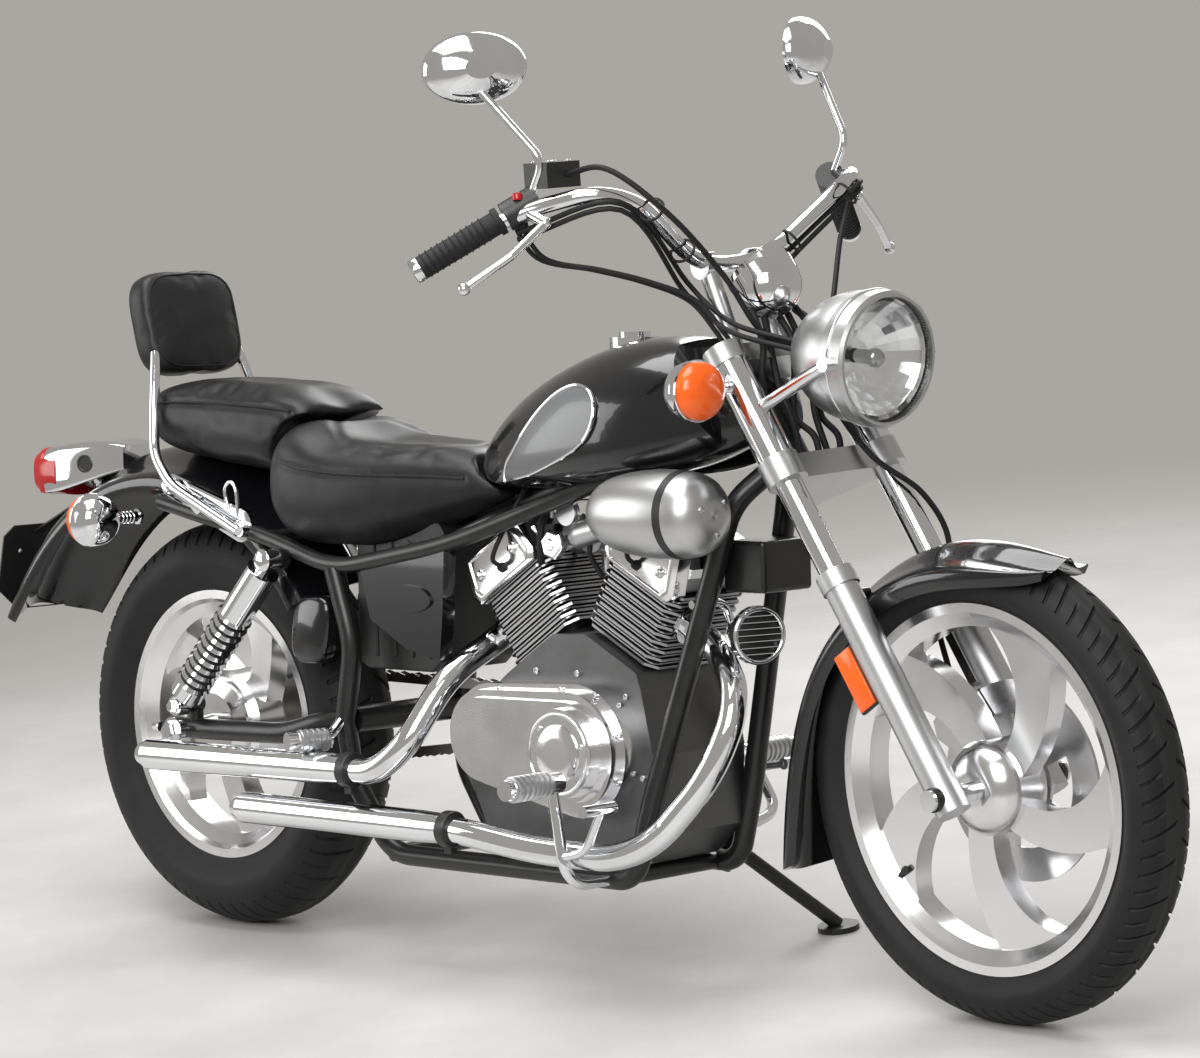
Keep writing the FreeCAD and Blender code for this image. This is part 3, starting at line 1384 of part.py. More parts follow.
def exhausts():
    neighbours = [SHAPES["frame"], SHAPES["crankcase"], SHAPES["engine_side_covers"]]
    half = RIGHT * d.muffler_half / d.body_half_width
    port, away = exhaust_port(-d.vee_half_angle, -1)
    rear_pipe = [port, port + away * (d.pipe_radius * 2.2), at(0.392, -1.15, 0.415), at(0.376, -1.78, 0.32),
                 at(0.340, half, 0.281), at(0.302, half, 0.281)]
    rear = exhaust(rear_pipe, at(0.305, half, 0.281), at(0.0047, half, 0.276))
    rear_flange = rod(port, port + away * (d.pipe_radius * 0.5), d.pipe_radius * 1.35)
    port, away = exhaust_port(d.vee_half_angle, 1)
    front_pipe = [port, port + away * (d.pipe_radius * 3.4), at(0.7475, -0.80, 0.405), at(0.7300, -1.12, 0.305),
                  at(0.662, -1.50, 0.186), at(0.55, -1.80, 0.192), at(0.47, half, 0.208), at(0.439, half, 0.211)]
    front = exhaust(front_pipe, at(0.4418, half, 0.211), at(0.149, half, 0.211))
    front_flange = rod(port, port + away * (d.pipe_radius * 0.5), d.pipe_radius * 1.35)
    piece("rear_exhaust", cut(one([rear, rear_flange]), *neighbours), BIKE)
    piece("front_exhaust", cut(one([front, front_flange]), *neighbours), BIKE)


# Tank, seats and bodywork
TANK_SHARES = [
    # station of the wheelbase, then bottom, top and widest height / grip height, half width / body
    (0.404, 0.684, 0.730, 0.705, 0.50),
    (0.438, 0.680, 0.785, 0.715, 0.84),
    (0.485, 0.681, 0.829, 0.725, 1.08),
    (0.539, 0.686, 0.862, 0.735, 1.25),
    (0.593, 0.693, 0.883, 0.750, 1.32),
    (0.646, 0.702, 0.889, 0.765, 1.30),
    (0.700, 0.716, 0.877, 0.785, 1.08),
    (0.734, 0.735, 0.848, 0.790, 0.80),
    (0.754, 0.752, 0.812, 0.782, 0.52),
]


def tank_section(station, bottom, top, widest, half, grow=0):
    low = bottom * d.grip_height - grow
    high = top * d.grip_height + grow
    middle = widest * d.grip_height
    across = half * d.body_half_width + grow
    x = fore(station)
    ring = [(0, low), (0.62, low), (0.93, low + (middle - low) * 0.35), (1, middle),
            (0.86, middle + (high - middle) * 0.55), (0.52, middle + (high - middle) * 0.9), (0, high)]
    points = [V(x, across * side, z) for side, z in ring]
    points += [V(x, -across * side, z) for side, z in ring[-2:0:-1]]
    return smooth_loop(points)


def tank_solid(grow=0):
    return lofted([tank_section(*station, grow) for station in TANK_SHARES])


def steering_room():
    """What the fork and its bridges sweep from stop to stop, less the round the head tube."""
    low = d.lower_clamp_height + d.lower_clamp_thickness + d.swing_gap
    high = d.upper_clamp_height - d.swing_gap
    reach = math.hypot(d.leg_spacing, STEM_OFFSET)
    leg_angle = math.degrees(math.atan2(d.leg_spacing, -STEM_OFFSET))
    back = reach * math.sin(math.radians(d.steer_stop_angle + leg_angle - 90)) + d.clamp_end_radius + d.swing_gap
    side = reach * 2
    bottom = low - d.swing_gap * 2 - d.lower_clamp_thickness
    top = SLIDER_TOP * 2 + d.upper_clamp_thickness * 3
    corners = [fork(-side, bottom, STEM_OFFSET - back), fork(side, bottom, STEM_OFFSET - back),
               fork(side, bottom, STEM_OFFSET + side), fork(-side, bottom, STEM_OFFSET + side)]
    sweep = plate(corners, top - bottom, STEER_UP)
    core = rod(fork(0, low, STEM_OFFSET), fork(0, high, STEM_OFFSET), reach - d.fork_cover_radius - d.swing_gap)
    return sweep.cut(core)


def tank():
    """A teardrop tank with a tunnel for the backbone."""
    head_low = d.lower_clamp_height + d.lower_clamp_thickness + d.head_gap
    head_high = d.upper_clamp_height - d.head_gap
    neck = fork(0, head_low * 0.3 + head_high * 0.7, STEM_OFFSET)
    seat_node = at(0.431, 0, 0.655)
    radius = d.backbone_radius + d.tank_wall_gap
    lift = V(0, 0, radius)
    drop = V(0, 0, -d.grip_height * 0.2)
    side = V(0, radius, 0)
    tunnel = plate([neck - side + lift, seat_node - side + lift, seat_node - side + drop, neck - side + drop],
                   radius * 2, Y_AXIS)
    head = rod(fork(0, head_low * 0.7, STEM_OFFSET), fork(0, head_high * 1.1, STEM_OFFSET),
               d.head_tube_radius + d.tank_wall_gap)
    shape = cut(tank_solid(), tunnel, head, steering_room(), SHAPES["frame"])
    solids = sorted(shape.Solids, key=lambda solid: solid.Volume)
    piece("fuel_tank", solids[-1], BIKE)


def tank_panels():
    """Raised teardrop panels on the tank's sides."""
    shares = [(0.446, 0.690), (0.500, 0.752), (0.556, 0.822), (0.590, 0.824), (0.610, 0.796), (0.606, 0.765),
              (0.580, 0.735), (0.53, 0.708), (0.48, 0.694)]
    points = [V(fore(x), 0, z * d.grip_height) for x, z in shares]
    outline = Part.Face(smooth_loop(points))
    skin = cut(tank_solid(d.panel_height), tank_solid())
    panels = []
    for side in (RIGHT, LEFT):
        bar = outline.extrude(V(0, side * d.body_half_width * 2, 0))
        panels.append(bar.common(skin).Solids[0])
    piece("tank_panels", panels, BIKE)


def filler_cap():
    base = at(0.579, 0, 0.879)
    cap = one([rod(base - V(0, 0, d.cap_height), base + V(0, 0, d.cap_height), d.cap_radius),
               rod(base, base + V(0, 0, d.cap_height * 1.8), d.cap_radius * 0.62)])
    piece("filler_cap", cut(cap, SHAPES["fuel_tank"]), BIKE)


def seat_section(station, bottom, top, half, crown):
    x = fore(station)
    low = bottom * d.grip_height
    high = top * d.grip_height
    across = half * d.body_half_width
    height = high - low
    ring = [(0, low), (0.7, low), (0.96, low + height * 0.22), (1, low + height * 0.55), (0.9, high - height * 0.14),
            (0.6, high - height * crown * 0.4), (0, high - height * crown)]
    points = [V(x, across * side, z) for side, z in ring]
    points += [V(x, -across * side, z) for side, z in ring[-2:0:-1]]
    return smooth_loop(points)


RIDER_SEAT_SHARES = [
    # station, bottom, top, half width, hollow of the top
    (0.134, 0.640, 0.720, 1.00, 0.0),
    (0.146, 0.612, 0.760, 1.30, 0.0),
    (0.170, 0.598, 0.774, 1.42, 0.0),
    (0.210, 0.597, 0.755, 1.46, 0.04),
    (0.255, 0.600, 0.740, 1.42, 0.06),
    (0.310, 0.612, 0.735, 1.28, 0.05),
    (0.365, 0.632, 0.728, 1.08, 0.0),
    (0.410, 0.648, 0.716, 0.90, 0.0),
    (0.440, 0.660, 0.700, 0.70, 0.0),
]
PILLION_SHARES = [
    (-0.078, 0.756, 0.800, 0.72, 0.0),
    (-0.066, 0.738, 0.817, 0.92, 0.0),
    (-0.03, 0.726, 0.826, 1.06, 0.0),
    (0.04, 0.712, 0.823, 1.12, 0.0),
    (0.11, 0.700, 0.818, 1.12, 0.0),
    (0.16, 0.700, 0.808, 1.04, 0.0),
    (0.182, 0.720, 0.790, 0.88, 0.0),
]


def seats():
    guard_envelope = SHAPES["rear_guard_envelope"]
    rider = lofted([seat_section(*share) for share in RIDER_SEAT_SHARES])
    piece("rider_seat", cut(rider, SHAPES["frame"], SHAPES["fuel_tank"], guard_envelope), BIKE)
    pillion = lofted([seat_section(*share) for share in PILLION_SHARES])
    pillion = cut(pillion, rider, guard_envelope, SHAPES["frame"])
    solids = sorted(pillion.Solids, key=lambda solid: solid.Volume)
    piece("pillion_seat", solids[-1], BIKE)


def rear_fender():
    guard, envelope = mudguard(REAR_GUARD_HUB, d.rear_guard_radius, d.rear_guard_half, d.rear_guard_depth, d.rear_guard_crown,
                               REAR_GUARD_SHARES)
    SHAPES["rear_guard_envelope"] = envelope
    piece("rear_fender", cut(guard, SHAPES["frame"]), BIKE)


def backrest():
    """A rounded pad that leans back, on two rods."""
    lean = FreeCAD.Rotation(Y_AXIS, -d.pad_lean)
    up = lean.multVec(Z_AXIS)
    ahead = lean.multVec(X_AXIS)
    foot = at(-0.043, 0, 0.836)
    wires = []
    for depth, share in ((0, 0.86), (0.3, 1), (0.7, 1), (1, 0.86)):
        ring = []
        for side, height in ((-1, 0.12), (-0.9, 0.0), (0, -0.02), (0.9, 0.0), (1, 0.12), (1.0, 0.6), (0.92, 0.9),
                             (0.6, 1.0), (0, 1.02), (-0.6, 1.0), (-0.92, 0.9), (-1.0, 0.6)):
            middle = 0.5 + (height - 0.5) * share
            ring.append(foot - ahead * (depth * d.pad_thickness) + Y_AXIS * (side * share * d.pad_half)
                        + up * (middle * d.pad_height))
        wires.append(smooth_loop(ring))
    pad_shape = lofted(wires)
    bars = []
    for side in (RIGHT, LEFT):
        strut = [at(0.106, side * 1.30, 0.610), at(0.003, side * 1.30, 0.676), at(-0.030, side * 1.18, 0.72),
                 at(-0.040, side * 1.02, 0.80), at(-0.052, side * 0.80, 0.88), at(-0.075, side * 0.55, 0.95)]
        bars.append(swept(strut, d.strut_radius, 0.35))
        lug = rod(at(0.03, side * 1.02, 0.630), at(0.03, side * 1.3, 0.662), d.strut_radius)
        low = rod(at(0.108, side * 1.03, 0.607), at(0.108, side * 1.3, 0.610), d.strut_radius)
        bars[-1] = one([bars[-1], lug, low])
    piece("backrest_pad", cut(pad_shape, SHAPES["pillion_seat"], *bars), BIKE)
    piece("sissy_bar", [cut(bar, SHAPES["frame"], SHAPES["pillion_seat"], SHAPES["rear_fender"],
                            SHAPES["rider_seat"]) for bar in bars], BIKE)


def side_covers():
    """Black covers between the frame's tubes, each with a raised oval."""
    covers = []
    for side in (RIGHT, LEFT):
        shares = [(0.277, 0.566), (0.397, 0.599), (0.392, 0.50), (0.386, 0.437), (0.34, 0.450), (0.29, 0.49)]
        points = [at(x, side * 0.97, z) for x, z in shares]
        body = plate(points, d.side_cover_depth, Y_AXIS * side)
        oval = at(0.344, side * 0.97, 0.522)
        raised = []
        for step in range(12):
            angle = math.radians(step * 30)
            raised.append(oval + V(math.cos(angle) * d.oval_half_length, 0, math.sin(angle) * d.oval_half_height))
        boss = Part.Face(smooth_loop(raised)).extrude(Y_AXIS * (side * (d.side_cover_depth + d.oval_rise)))
        covers.append(cut(one([body, boss]), SHAPES["frame"], SHAPES["cylinders"], SHAPES["cylinder_head_covers"],
                          SHAPES["crankcase"], SHAPES["rear_exhaust"]))
    piece("side_covers", [max(cover.Solids, key=lambda solid: solid.Volume) for cover in covers], BIKE)


def tail_lamp():
    """A chrome housing on the fender with a red lens behind it."""
    ring_shares = [(-1, -1), (0, -1.08), (1, -1), (1.1, 0), (1, 1), (0, 1.1), (-1, 1), (-1.1, 0)]
    stations = [(-0.15, 0.708, 0.5, 0.55), (-0.19, 0.702, 0.8, 0.85), (-0.235, 0.690, 1, 1), (-0.256, 0.686, 1, 1)]
    wires = []
    for station, height, width, tall in stations:
        centre = at(station, 0, height)
        wires.append(smooth_loop([centre + V(0, y * width * d.tail_half_width, z * tall * d.tail_half_height)
                                  for y, z in ring_shares]))
    housing = lofted(wires)
    foot = rod(at(-0.21, 0, 0.60), at(-0.21, 0, 0.69), d.tail_half_height * 0.6)
    piece("tail_lamp", cut(one([housing, foot]), SHAPES["rear_guard_envelope"]), BIKE)
    back = at(-0.256, 0, 0.686)
    lens = []
    for step, share in ((0, 1), (0.6, 0.98), (1, 0.88)):
        centre = back - V(step * d.tail_lens_depth, 0, 0)
        lens.append(smooth_loop([centre + V(0, y * share * d.tail_half_width, z * share * d.tail_half_height)
                                 for y, z in ring_shares]))
    piece("tail_lens", lofted(lens), BIKE)


def rear_signals():
    lamps = []
    for side in (RIGHT, LEFT):
        centre = at(-0.095, side * 1.7, 0.623)
        root = at(-0.07, side * d.rear_guard_half / d.body_half_width, 0.669)
        lamps.append(cut(indicator(centre, -1, root), SHAPES["frame"], SHAPES["sissy_bar"],
                         SHAPES["rear_guard_envelope"]))
    piece("rear_turn_signals", lamps, BIKE)


def plate_bracket():
    """A black carrier for the number plate, on the fender's tail."""
    top = PLATE_TOP
    up = PLATE_UP
    back = PLATE_BACK
    corners = [(-0.8, 0), (0.8, 0), (1, -0.12), (1, -0.75), (0.55, -1), (-0.55, -1), (-1, -0.75), (-1, -0.12)]
    points = [top + Y_AXIS * (y * d.plate_half_width) + up * (z * d.plate_height) for y, z in corners]
    sheet_metal = plate(points, d.plate_thickness, back)
    holes = []
    for side in (RIGHT, LEFT):
        centre = PLATE_HOLES + Y_AXIS * (side * d.plate_hole_spacing / 2)
        holes.append(rod(centre - back * d.cut_overrun, centre + back * d.cut_overrun, d.plate_hole_radius))
    arm = plate([top + Y_AXIS * (y * d.plate_half_width * 0.4) + V(dx * d.plate_height, 0, 0) + up * (z * d.plate_height)
                 for y, dx, z in ((-1, 0, -0.1), (1, 0, -0.1), (1, 0.9, 0.35), (-1, 0.9, 0.35))], d.plate_thickness,
                Z_AXIS)
    piece("plate_bracket", cut(one([sheet_metal, arm]), SHAPES["rear_guard_envelope"], *holes), BIKE)


def horn():
    centre = at(0.742, -0.35, 0.488)
    turn = facing(V(1, -0.35, 0).normalize())
    ahead = turn.multVec(Y_AXIS)
    body = one([cone(centre - ahead * d.horn_depth, centre, d.horn_radius * 0.6, d.horn_radius),
                rod(centre, centre + ahead * d.horn_rim, d.horn_radius)])
    dish = rod(centre + ahead * (d.horn_rim * 0.4), centre + ahead * (d.horn_rim + d.cut_overrun),
               d.horn_radius * 0.8)
    arm = swept([centre - ahead * (d.horn_depth * 0.6), centre - ahead * (d.horn_depth * 1.6),
                 at(0.70, -0.3, 0.53), at(0.695, -0.85, 0.53)], d.stay_radius, 0.3)
    piece("horn", cut(one([cut(body, dish), arm]), SHAPES["frame"], SHAPES["front_exhaust"], SHAPES["cylinders"],
                      SHAPES["cylinder_head_covers"]), BIKE)


def electrics_box():
    foot = at(0.712, 0, 0.545) - V(0, d.box_width / 2, 0)
    box = Part.makeBox(d.box_length, d.box_width, d.box_height, foot)
    box = box.makeFillet(d.box_round, box.Edges)
    piece("electrics_box", cut(box, SHAPES["frame"], SHAPES["horn"]), BIKE)


def footpegs():
    """Rider's pegs ahead and passenger's pegs behind, each on a bracket from the frame."""
    pegs = []
    stems = {
        RIGHT: [at(0.600, -1.0, 0.150), at(0.600, -1.98, 0.150), at(0.585, -1.98, 0.290)],
        LEFT: [at(0.637, 1.02, 0.200), at(0.637, 1.70, 0.215), at(0.585, 1.98, 0.290)],
    }
    for side in (RIGHT, LEFT):
        rider = stems[side][-1]
        run = V(0, side * d.peg_length, 0)
        stem = swept(stems[side], d.peg_stem_radius, 0.4)
        grip = rod(rider - run * 0.15, rider + run, d.peg_radius)
        pegs.append(one([stem, grip]))
        back = at(0.255, side * 1.6, 0.318)
        arm = swept([at(0.247, side * 1.2, 0.345), at(0.25, side * 1.5, 0.322), back + V(0, side * d.peg_radius, 0)],
                    d.peg_stem_radius, 0.3)
        rest = rod(back, back + V(-d.peg_length * 0.25, side * d.peg_length * 0.7, 0), d.peg_radius)
        pegs.append(one([arm, rest]))
    neighbours = [SHAPES["frame"], SHAPES["crankcase"], SHAPES["engine_side_covers"], SHAPES["front_exhaust"],
                  SHAPES["rear_exhaust"]]
    piece("footpegs", [max(cut(peg, *neighbours).Solids, key=lambda solid: solid.Volume) for peg in pegs], BIKE)


def foot_controls():
    """The brake pedal on the right and the gear lever on the left."""
    brake = one([swept([at(0.592, -1.98, 0.190), at(0.625, -1.98, 0.200), at(0.648, -1.98, 0.262)], d.pedal_radius, 0.4),
                 rod(at(0.648, -1.75, 0.262), at(0.648, -2.35, 0.262), d.pedal_radius * 1.4)])
    gear = one([rod(at(0.51, 0.93, 0.30), at(0.51, 1.60, 0.30), d.pedal_radius),
                swept([at(0.51, 1.60, 0.30), at(0.56, 1.60, 0.262), at(0.655, 1.60, 0.285)], d.pedal_radius, 0.4),
                rod(at(0.655, 1.55, 0.285), at(0.655, 2.0, 0.285), d.pedal_radius * 1.4)])
    neighbours = [SHAPES["frame"], SHAPES["crankcase"], SHAPES["engine_side_covers"], SHAPES["footpegs"],
                  SHAPES["front_exhaust"]]
    piece("foot_controls", [max(cut(part, *neighbours).Solids, key=lambda solid: solid.Volume)
                            for part in (brake, gear)], BIKE)


def chain_lines():
    """Directions along and square to the chain, and how its runs close in on each other."""
    run = SPROCKET_COVER - REAR_AXLE
    length = run.Length
    along = run.normalize()
    lean = math.asin((d.sprocket_tip_radius - d.front_sprocket_radius) / length)
    return along, V(-along.z, 0, along.x), lean


def chain_band(grow, inner, outer):
    """The solid inside the chain's line, grown by an amount."""
    along, up, lean = chain_lines()
    big = d.sprocket_tip_radius + grow
    small = d.front_sprocket_radius + grow
    high = up * math.cos(lean) + along * math.sin(lean)
    low = -up * math.cos(lean) + along * math.sin(lean)
    base = V(0, inner, 0)
    far = V(0, outer, 0)
    corners = [REAR_AXLE + high * big, SPROCKET_COVER + high * small, SPROCKET_COVER + low * small,
               REAR_AXLE + low * big]
    web = plate([corner + base for corner in corners], outer - inner, Y_AXIS)
    return one([web, rod(REAR_AXLE + base, REAR_AXLE + far, big), rod(SPROCKET_COVER + base, SPROCKET_COVER + far, small)])


def chain_point(distance, grow):
    """A point of the chain's loop, by its way along the loop, moved outward by an amount."""
    along, up, lean = chain_lines()
    big = d.sprocket_tip_radius
    small = d.front_sprocket_radius
    run = (SPROCKET_COVER - REAR_AXLE).Length * math.cos(lean)
    front_turn = math.pi - 2 * lean
    rear_turn = math.pi + 2 * lean
    stretches = [run, small * front_turn, run, big * rear_turn]
    number = 0
    while number < 3 and distance > stretches[number]:
        distance -= stretches[number]
        number += 1
    share = distance / stretches[number]
    high = math.pi / 2 - lean
    centre, radius, angle = (
        (REAR_AXLE + (SPROCKET_COVER - REAR_AXLE) * share, big + (small - big) * share, high),
        (SPROCKET_COVER, small, high - share * front_turn),
        (SPROCKET_COVER + (REAR_AXLE - SPROCKET_COVER) * share, small + (big - small) * share, -high),
        (REAR_AXLE, big, -high - share * rear_turn),
    )[number]
    return centre + (along * math.cos(angle) + up * math.sin(angle)) * (radius + grow)


def chain():
    """One fixed loop: two rows of plates either side of the teeth, with waists between the links, on pins."""
    along, up, lean = chain_lines()
    run = (SPROCKET_COVER - REAR_AXLE).Length * math.cos(lean)
    front = d.front_sprocket_radius * (math.pi - 2 * lean)
    rear = d.sprocket_tip_radius * (math.pi + 2 * lean)
    loop = run * 2 + front + rear
    steps = 2 * round(loop / (d.chain_pitch * 2))
    outer = [chain_point(loop * index / steps, d.chain_band * (1 if index % 2 else d.chain_waist_share))
             for index in range(steps)]
    inner = [chain_point(run + front * index / d.chain_front_turns, -d.chain_band)
             for index in range(int(d.chain_front_turns) + 1)]
    inner += [chain_point(run * 2 + front + rear * index / d.chain_rear_turns, -d.chain_band)
              for index in range(int(d.chain_rear_turns) + 1)]
    parts = []
    for side in (d.chain_side - d.chain_half_width, d.chain_side + d.chain_half_width - d.chain_plate):
        base = V(0, side, 0)
        parts.append(cut(plate([point + base for point in outer], d.chain_plate, Y_AXIS),
                         plate([point + base for point in inner], d.chain_plate, Y_AXIS)))
    half = V(0, d.chain_half_width - d.chain_plate / 2, 0)
    for stretch in (0, run + front):
        for share in CHAIN_PIN_SHARES:
            middle = chain_point(stretch + run * share, 0) + V(0, d.chain_side, 0)
            corners = [middle - half + turn * (d.chain_band * 0.5) for turn in (along, up, along * -1, up * -1)]
            parts.append(plate(corners, half.y * 2, Y_AXIS))
    piece("drive_chain", cut(one(parts), SHAPES["frame"], SHAPES["swingarm"], SHAPES["crankcase"],
                             SHAPES["engine_side_covers"]), BIKE)


CHAIN_PIN_SHARES = (0.3, 0.5, 0.7)


# Side stand, drawn where it holds the leaning bike
def side_stand():
    foot = STAND_FOOT
    ankle = foot + FLOOR_UP * d.stand_foot_thickness
    down = (ankle - STAND_PIVOT).normalize()
    leg = rod(STAND_PIVOT + down * (d.stand_eye_radius * 0.7), ankle, d.stand_tube_radius)
    pad_shape = rod(foot, ankle, d.stand_foot_radius)
    hinge = rod(STAND_PIVOT - STAND_AXIS * d.stand_eye_half, STAND_PIVOT + STAND_AXIS * d.stand_eye_half,
                d.stand_eye_radius)
    bore = rod(STAND_PIVOT - STAND_AXIS * d.cut_overrun, STAND_PIVOT + STAND_AXIS * d.cut_overrun,
               d.stand_bolt_radius + d.running_clearance)
    piece("side_stand", cut(one([leg, pad_shape, hinge]), bore), BIKE)


# All pieces, each after the ones it is cut to fit
front_wheel()
rear_wheel()
rear_axle()
front_axle()
sliders()
headlamp()
stanchions()
handlebar()
speedometer()
clamps()
grips()
bar_controls()
levers()
mirrors()
front_fender()
front_signals()
caliper()
frame()
swingarm()
shocks()
brake_panel()
crankcase()
side_covers_of_engine()
cylinders()
head_covers()
air_cleaner()
carburettor()
exhausts()
horn()
electrics_box()
rear_fender()
tank()
tank_panels()
filler_cap()
seats()
backrest()
side_covers()
tail_lamp()
rear_signals()
plate_bracket()
footpegs()
foot_controls()
chain()
side_stand()

doc.recompute()
PIECES = [part for part in doc.Objects if part.isDerivedFrom("PartDesign::Body") or part.TypeId == "Part::Feature"]
box = FreeCAD.BoundBox()
for part in PIECES:
    box.add(part.Shape.optimalBoundingBox(False, False))
CENTRE = FreeCAD.Placement(V(-box.Center.x, -box.Center.y, -box.ZMin), FreeCAD.Rotation())
for part in PIECES:
    part.Placement = CENTRE.multiply(part.Placement)
doc.recompute()

for part in doc.Objects:
    if "Invalid" in part.State or "Error" in part.State:
        raise RuntimeError(f"{part.Label} is {part.State}")
for part in PIECES:
    if part.Shape.isNull() or not part.Shape.isValid():
        raise RuntimeError(f"{part.Label} has no valid shape")
os.makedirs("parts", exist_ok=True)
for part in PIECES:
    part.Shape.exportStep(f"parts/{part.Label}.step")


def shown(name, base, point, direction):
    place = CENTRE.multiply(base)
    spot = place.multVec(point)
    way = place.Rotation.multVec(direction)
    numbers = " ".join(f"{number:.4f}" for number in (*spot, *way))
    print(f"{name} {numbers}")


shown("steer", BIKE, fork(0, d.lower_clamp_height, STEM_OFFSET), STEER_UP)
shown("front_wheel", FRONT, FRONT_AXLE, Y_AXIS)
shown("rear_wheel", BIKE, REAR_AXLE, Y_AXIS)
shown("side_stand", BIKE, STAND_PIVOT, STAND_AXIS)
shown("stand_foot", BIKE, STAND_FOOT, -FLOOR_UP)
shown("plate_holes", BIKE, PLATE_HOLES + PLATE_BACK * d.plate_thickness, PLATE_BACK)
print("box", *(f"{number:.2f}" for number in (box.XLength, box.YLength, box.ZLength)))
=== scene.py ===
# Cruiser motorcycle: materials, soft goods, small parts, studio and camera.
import json
import math

import bmesh
import bpy
from mathutils import Matrix, Vector
from mathutils.bvhtree import BVHTree
from mathutils.kdtree import KDTree


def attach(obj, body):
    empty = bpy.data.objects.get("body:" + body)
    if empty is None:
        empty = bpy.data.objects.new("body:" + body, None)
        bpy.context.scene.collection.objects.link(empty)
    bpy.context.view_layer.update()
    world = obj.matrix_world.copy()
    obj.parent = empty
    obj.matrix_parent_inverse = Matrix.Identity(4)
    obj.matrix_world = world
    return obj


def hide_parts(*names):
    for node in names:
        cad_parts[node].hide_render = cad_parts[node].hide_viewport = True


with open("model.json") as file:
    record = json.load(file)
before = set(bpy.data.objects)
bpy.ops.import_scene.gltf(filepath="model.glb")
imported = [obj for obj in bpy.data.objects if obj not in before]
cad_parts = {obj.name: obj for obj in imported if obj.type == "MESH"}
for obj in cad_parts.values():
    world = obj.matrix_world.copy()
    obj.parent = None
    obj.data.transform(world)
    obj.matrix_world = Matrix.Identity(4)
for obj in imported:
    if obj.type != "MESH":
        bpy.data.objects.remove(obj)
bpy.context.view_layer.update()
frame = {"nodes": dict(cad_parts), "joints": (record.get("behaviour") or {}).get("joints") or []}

NODES = frame["nodes"]
JOINTS = {joint["name"]: joint for joint in frame["joints"]}

# The upright bike's own millimetres, as in the part's source, and where they lie in the row frame
LEAN = math.radians(7.5)
STEER = math.radians(-4.7)
RAKE = math.radians(32.7)
REAR_HUB = Vector((0, 0, 306))
STEER_FOOT = Vector((1604, 0, 0))
STEER_UP = Vector((-math.sin(RAKE), 0, math.cos(RAKE)))
CHASSIS = (
    Matrix.Translation(JOINTS["rear_wheel_spin"]["pos_m"])
    @ Matrix.Rotation(-LEAN, 4, "X")
    @ Matrix.Scale(0.001, 4)
    @ Matrix.Translation(-REAR_HUB)
)
FRONT = (
    CHASSIS
    @ Matrix.Translation(STEER_FOOT)
    @ Matrix.Rotation(STEER, 4, STEER_UP)
    @ Matrix.Translation(-STEER_FOOT)
)
SPACES = {"chassis": CHASSIS, "rear_wheel": CHASSIS, "side_stand": CHASSIS,
          "steering": FRONT, "front_wheel": FRONT}
FRONT_HUB = FRONT.inverted() @ Vector(JOINTS["front_wheel_spin"]["pos_m"])

RIGHT, LEFT = -1, 1
SIDES = {"right": RIGHT, "left": LEFT}

# Each cylinder's lean from upright, in degrees
BANKS = {"front": 27.5, "rear": -32.5}


# Camera
def camera():
    """At the photograph's angle, and leaning with the bike."""
    azimuth, elevation, roll = math.radians(44.56), math.radians(3.85), math.radians(-1.81)
    back = Vector((math.sin(azimuth) * math.cos(elevation), -math.cos(azimuth) * math.cos(elevation),
                   math.sin(elevation)))
    right = Vector((math.cos(azimuth), math.sin(azimuth), 0))
    up = back.cross(right)
    turned_right = right * math.cos(roll) + up * math.sin(roll)
    turned_up = up * math.cos(roll) - right * math.sin(roll)
    lean = Matrix.Rotation(-LEAN, 3, "X")
    axes = [lean @ axis for axis in (turned_right, turned_up, back)]
    data = bpy.data.cameras.new("camera")
    data.sensor_width = 36
    data.lens = 126
    data.clip_end = 60
    seat = bpy.data.objects.new("camera", data)
    place = CHASSIS @ Vector((4889, -4172, 1014))
    seat.matrix_world = Matrix(
        [[axes[0][row], axes[1][row], axes[2][row], place[row]] for row in range(3)] + [[0, 0, 0, 1]]
    )
    bpy.context.scene.collection.objects.link(seat)
    bpy.context.scene.camera = seat


camera()


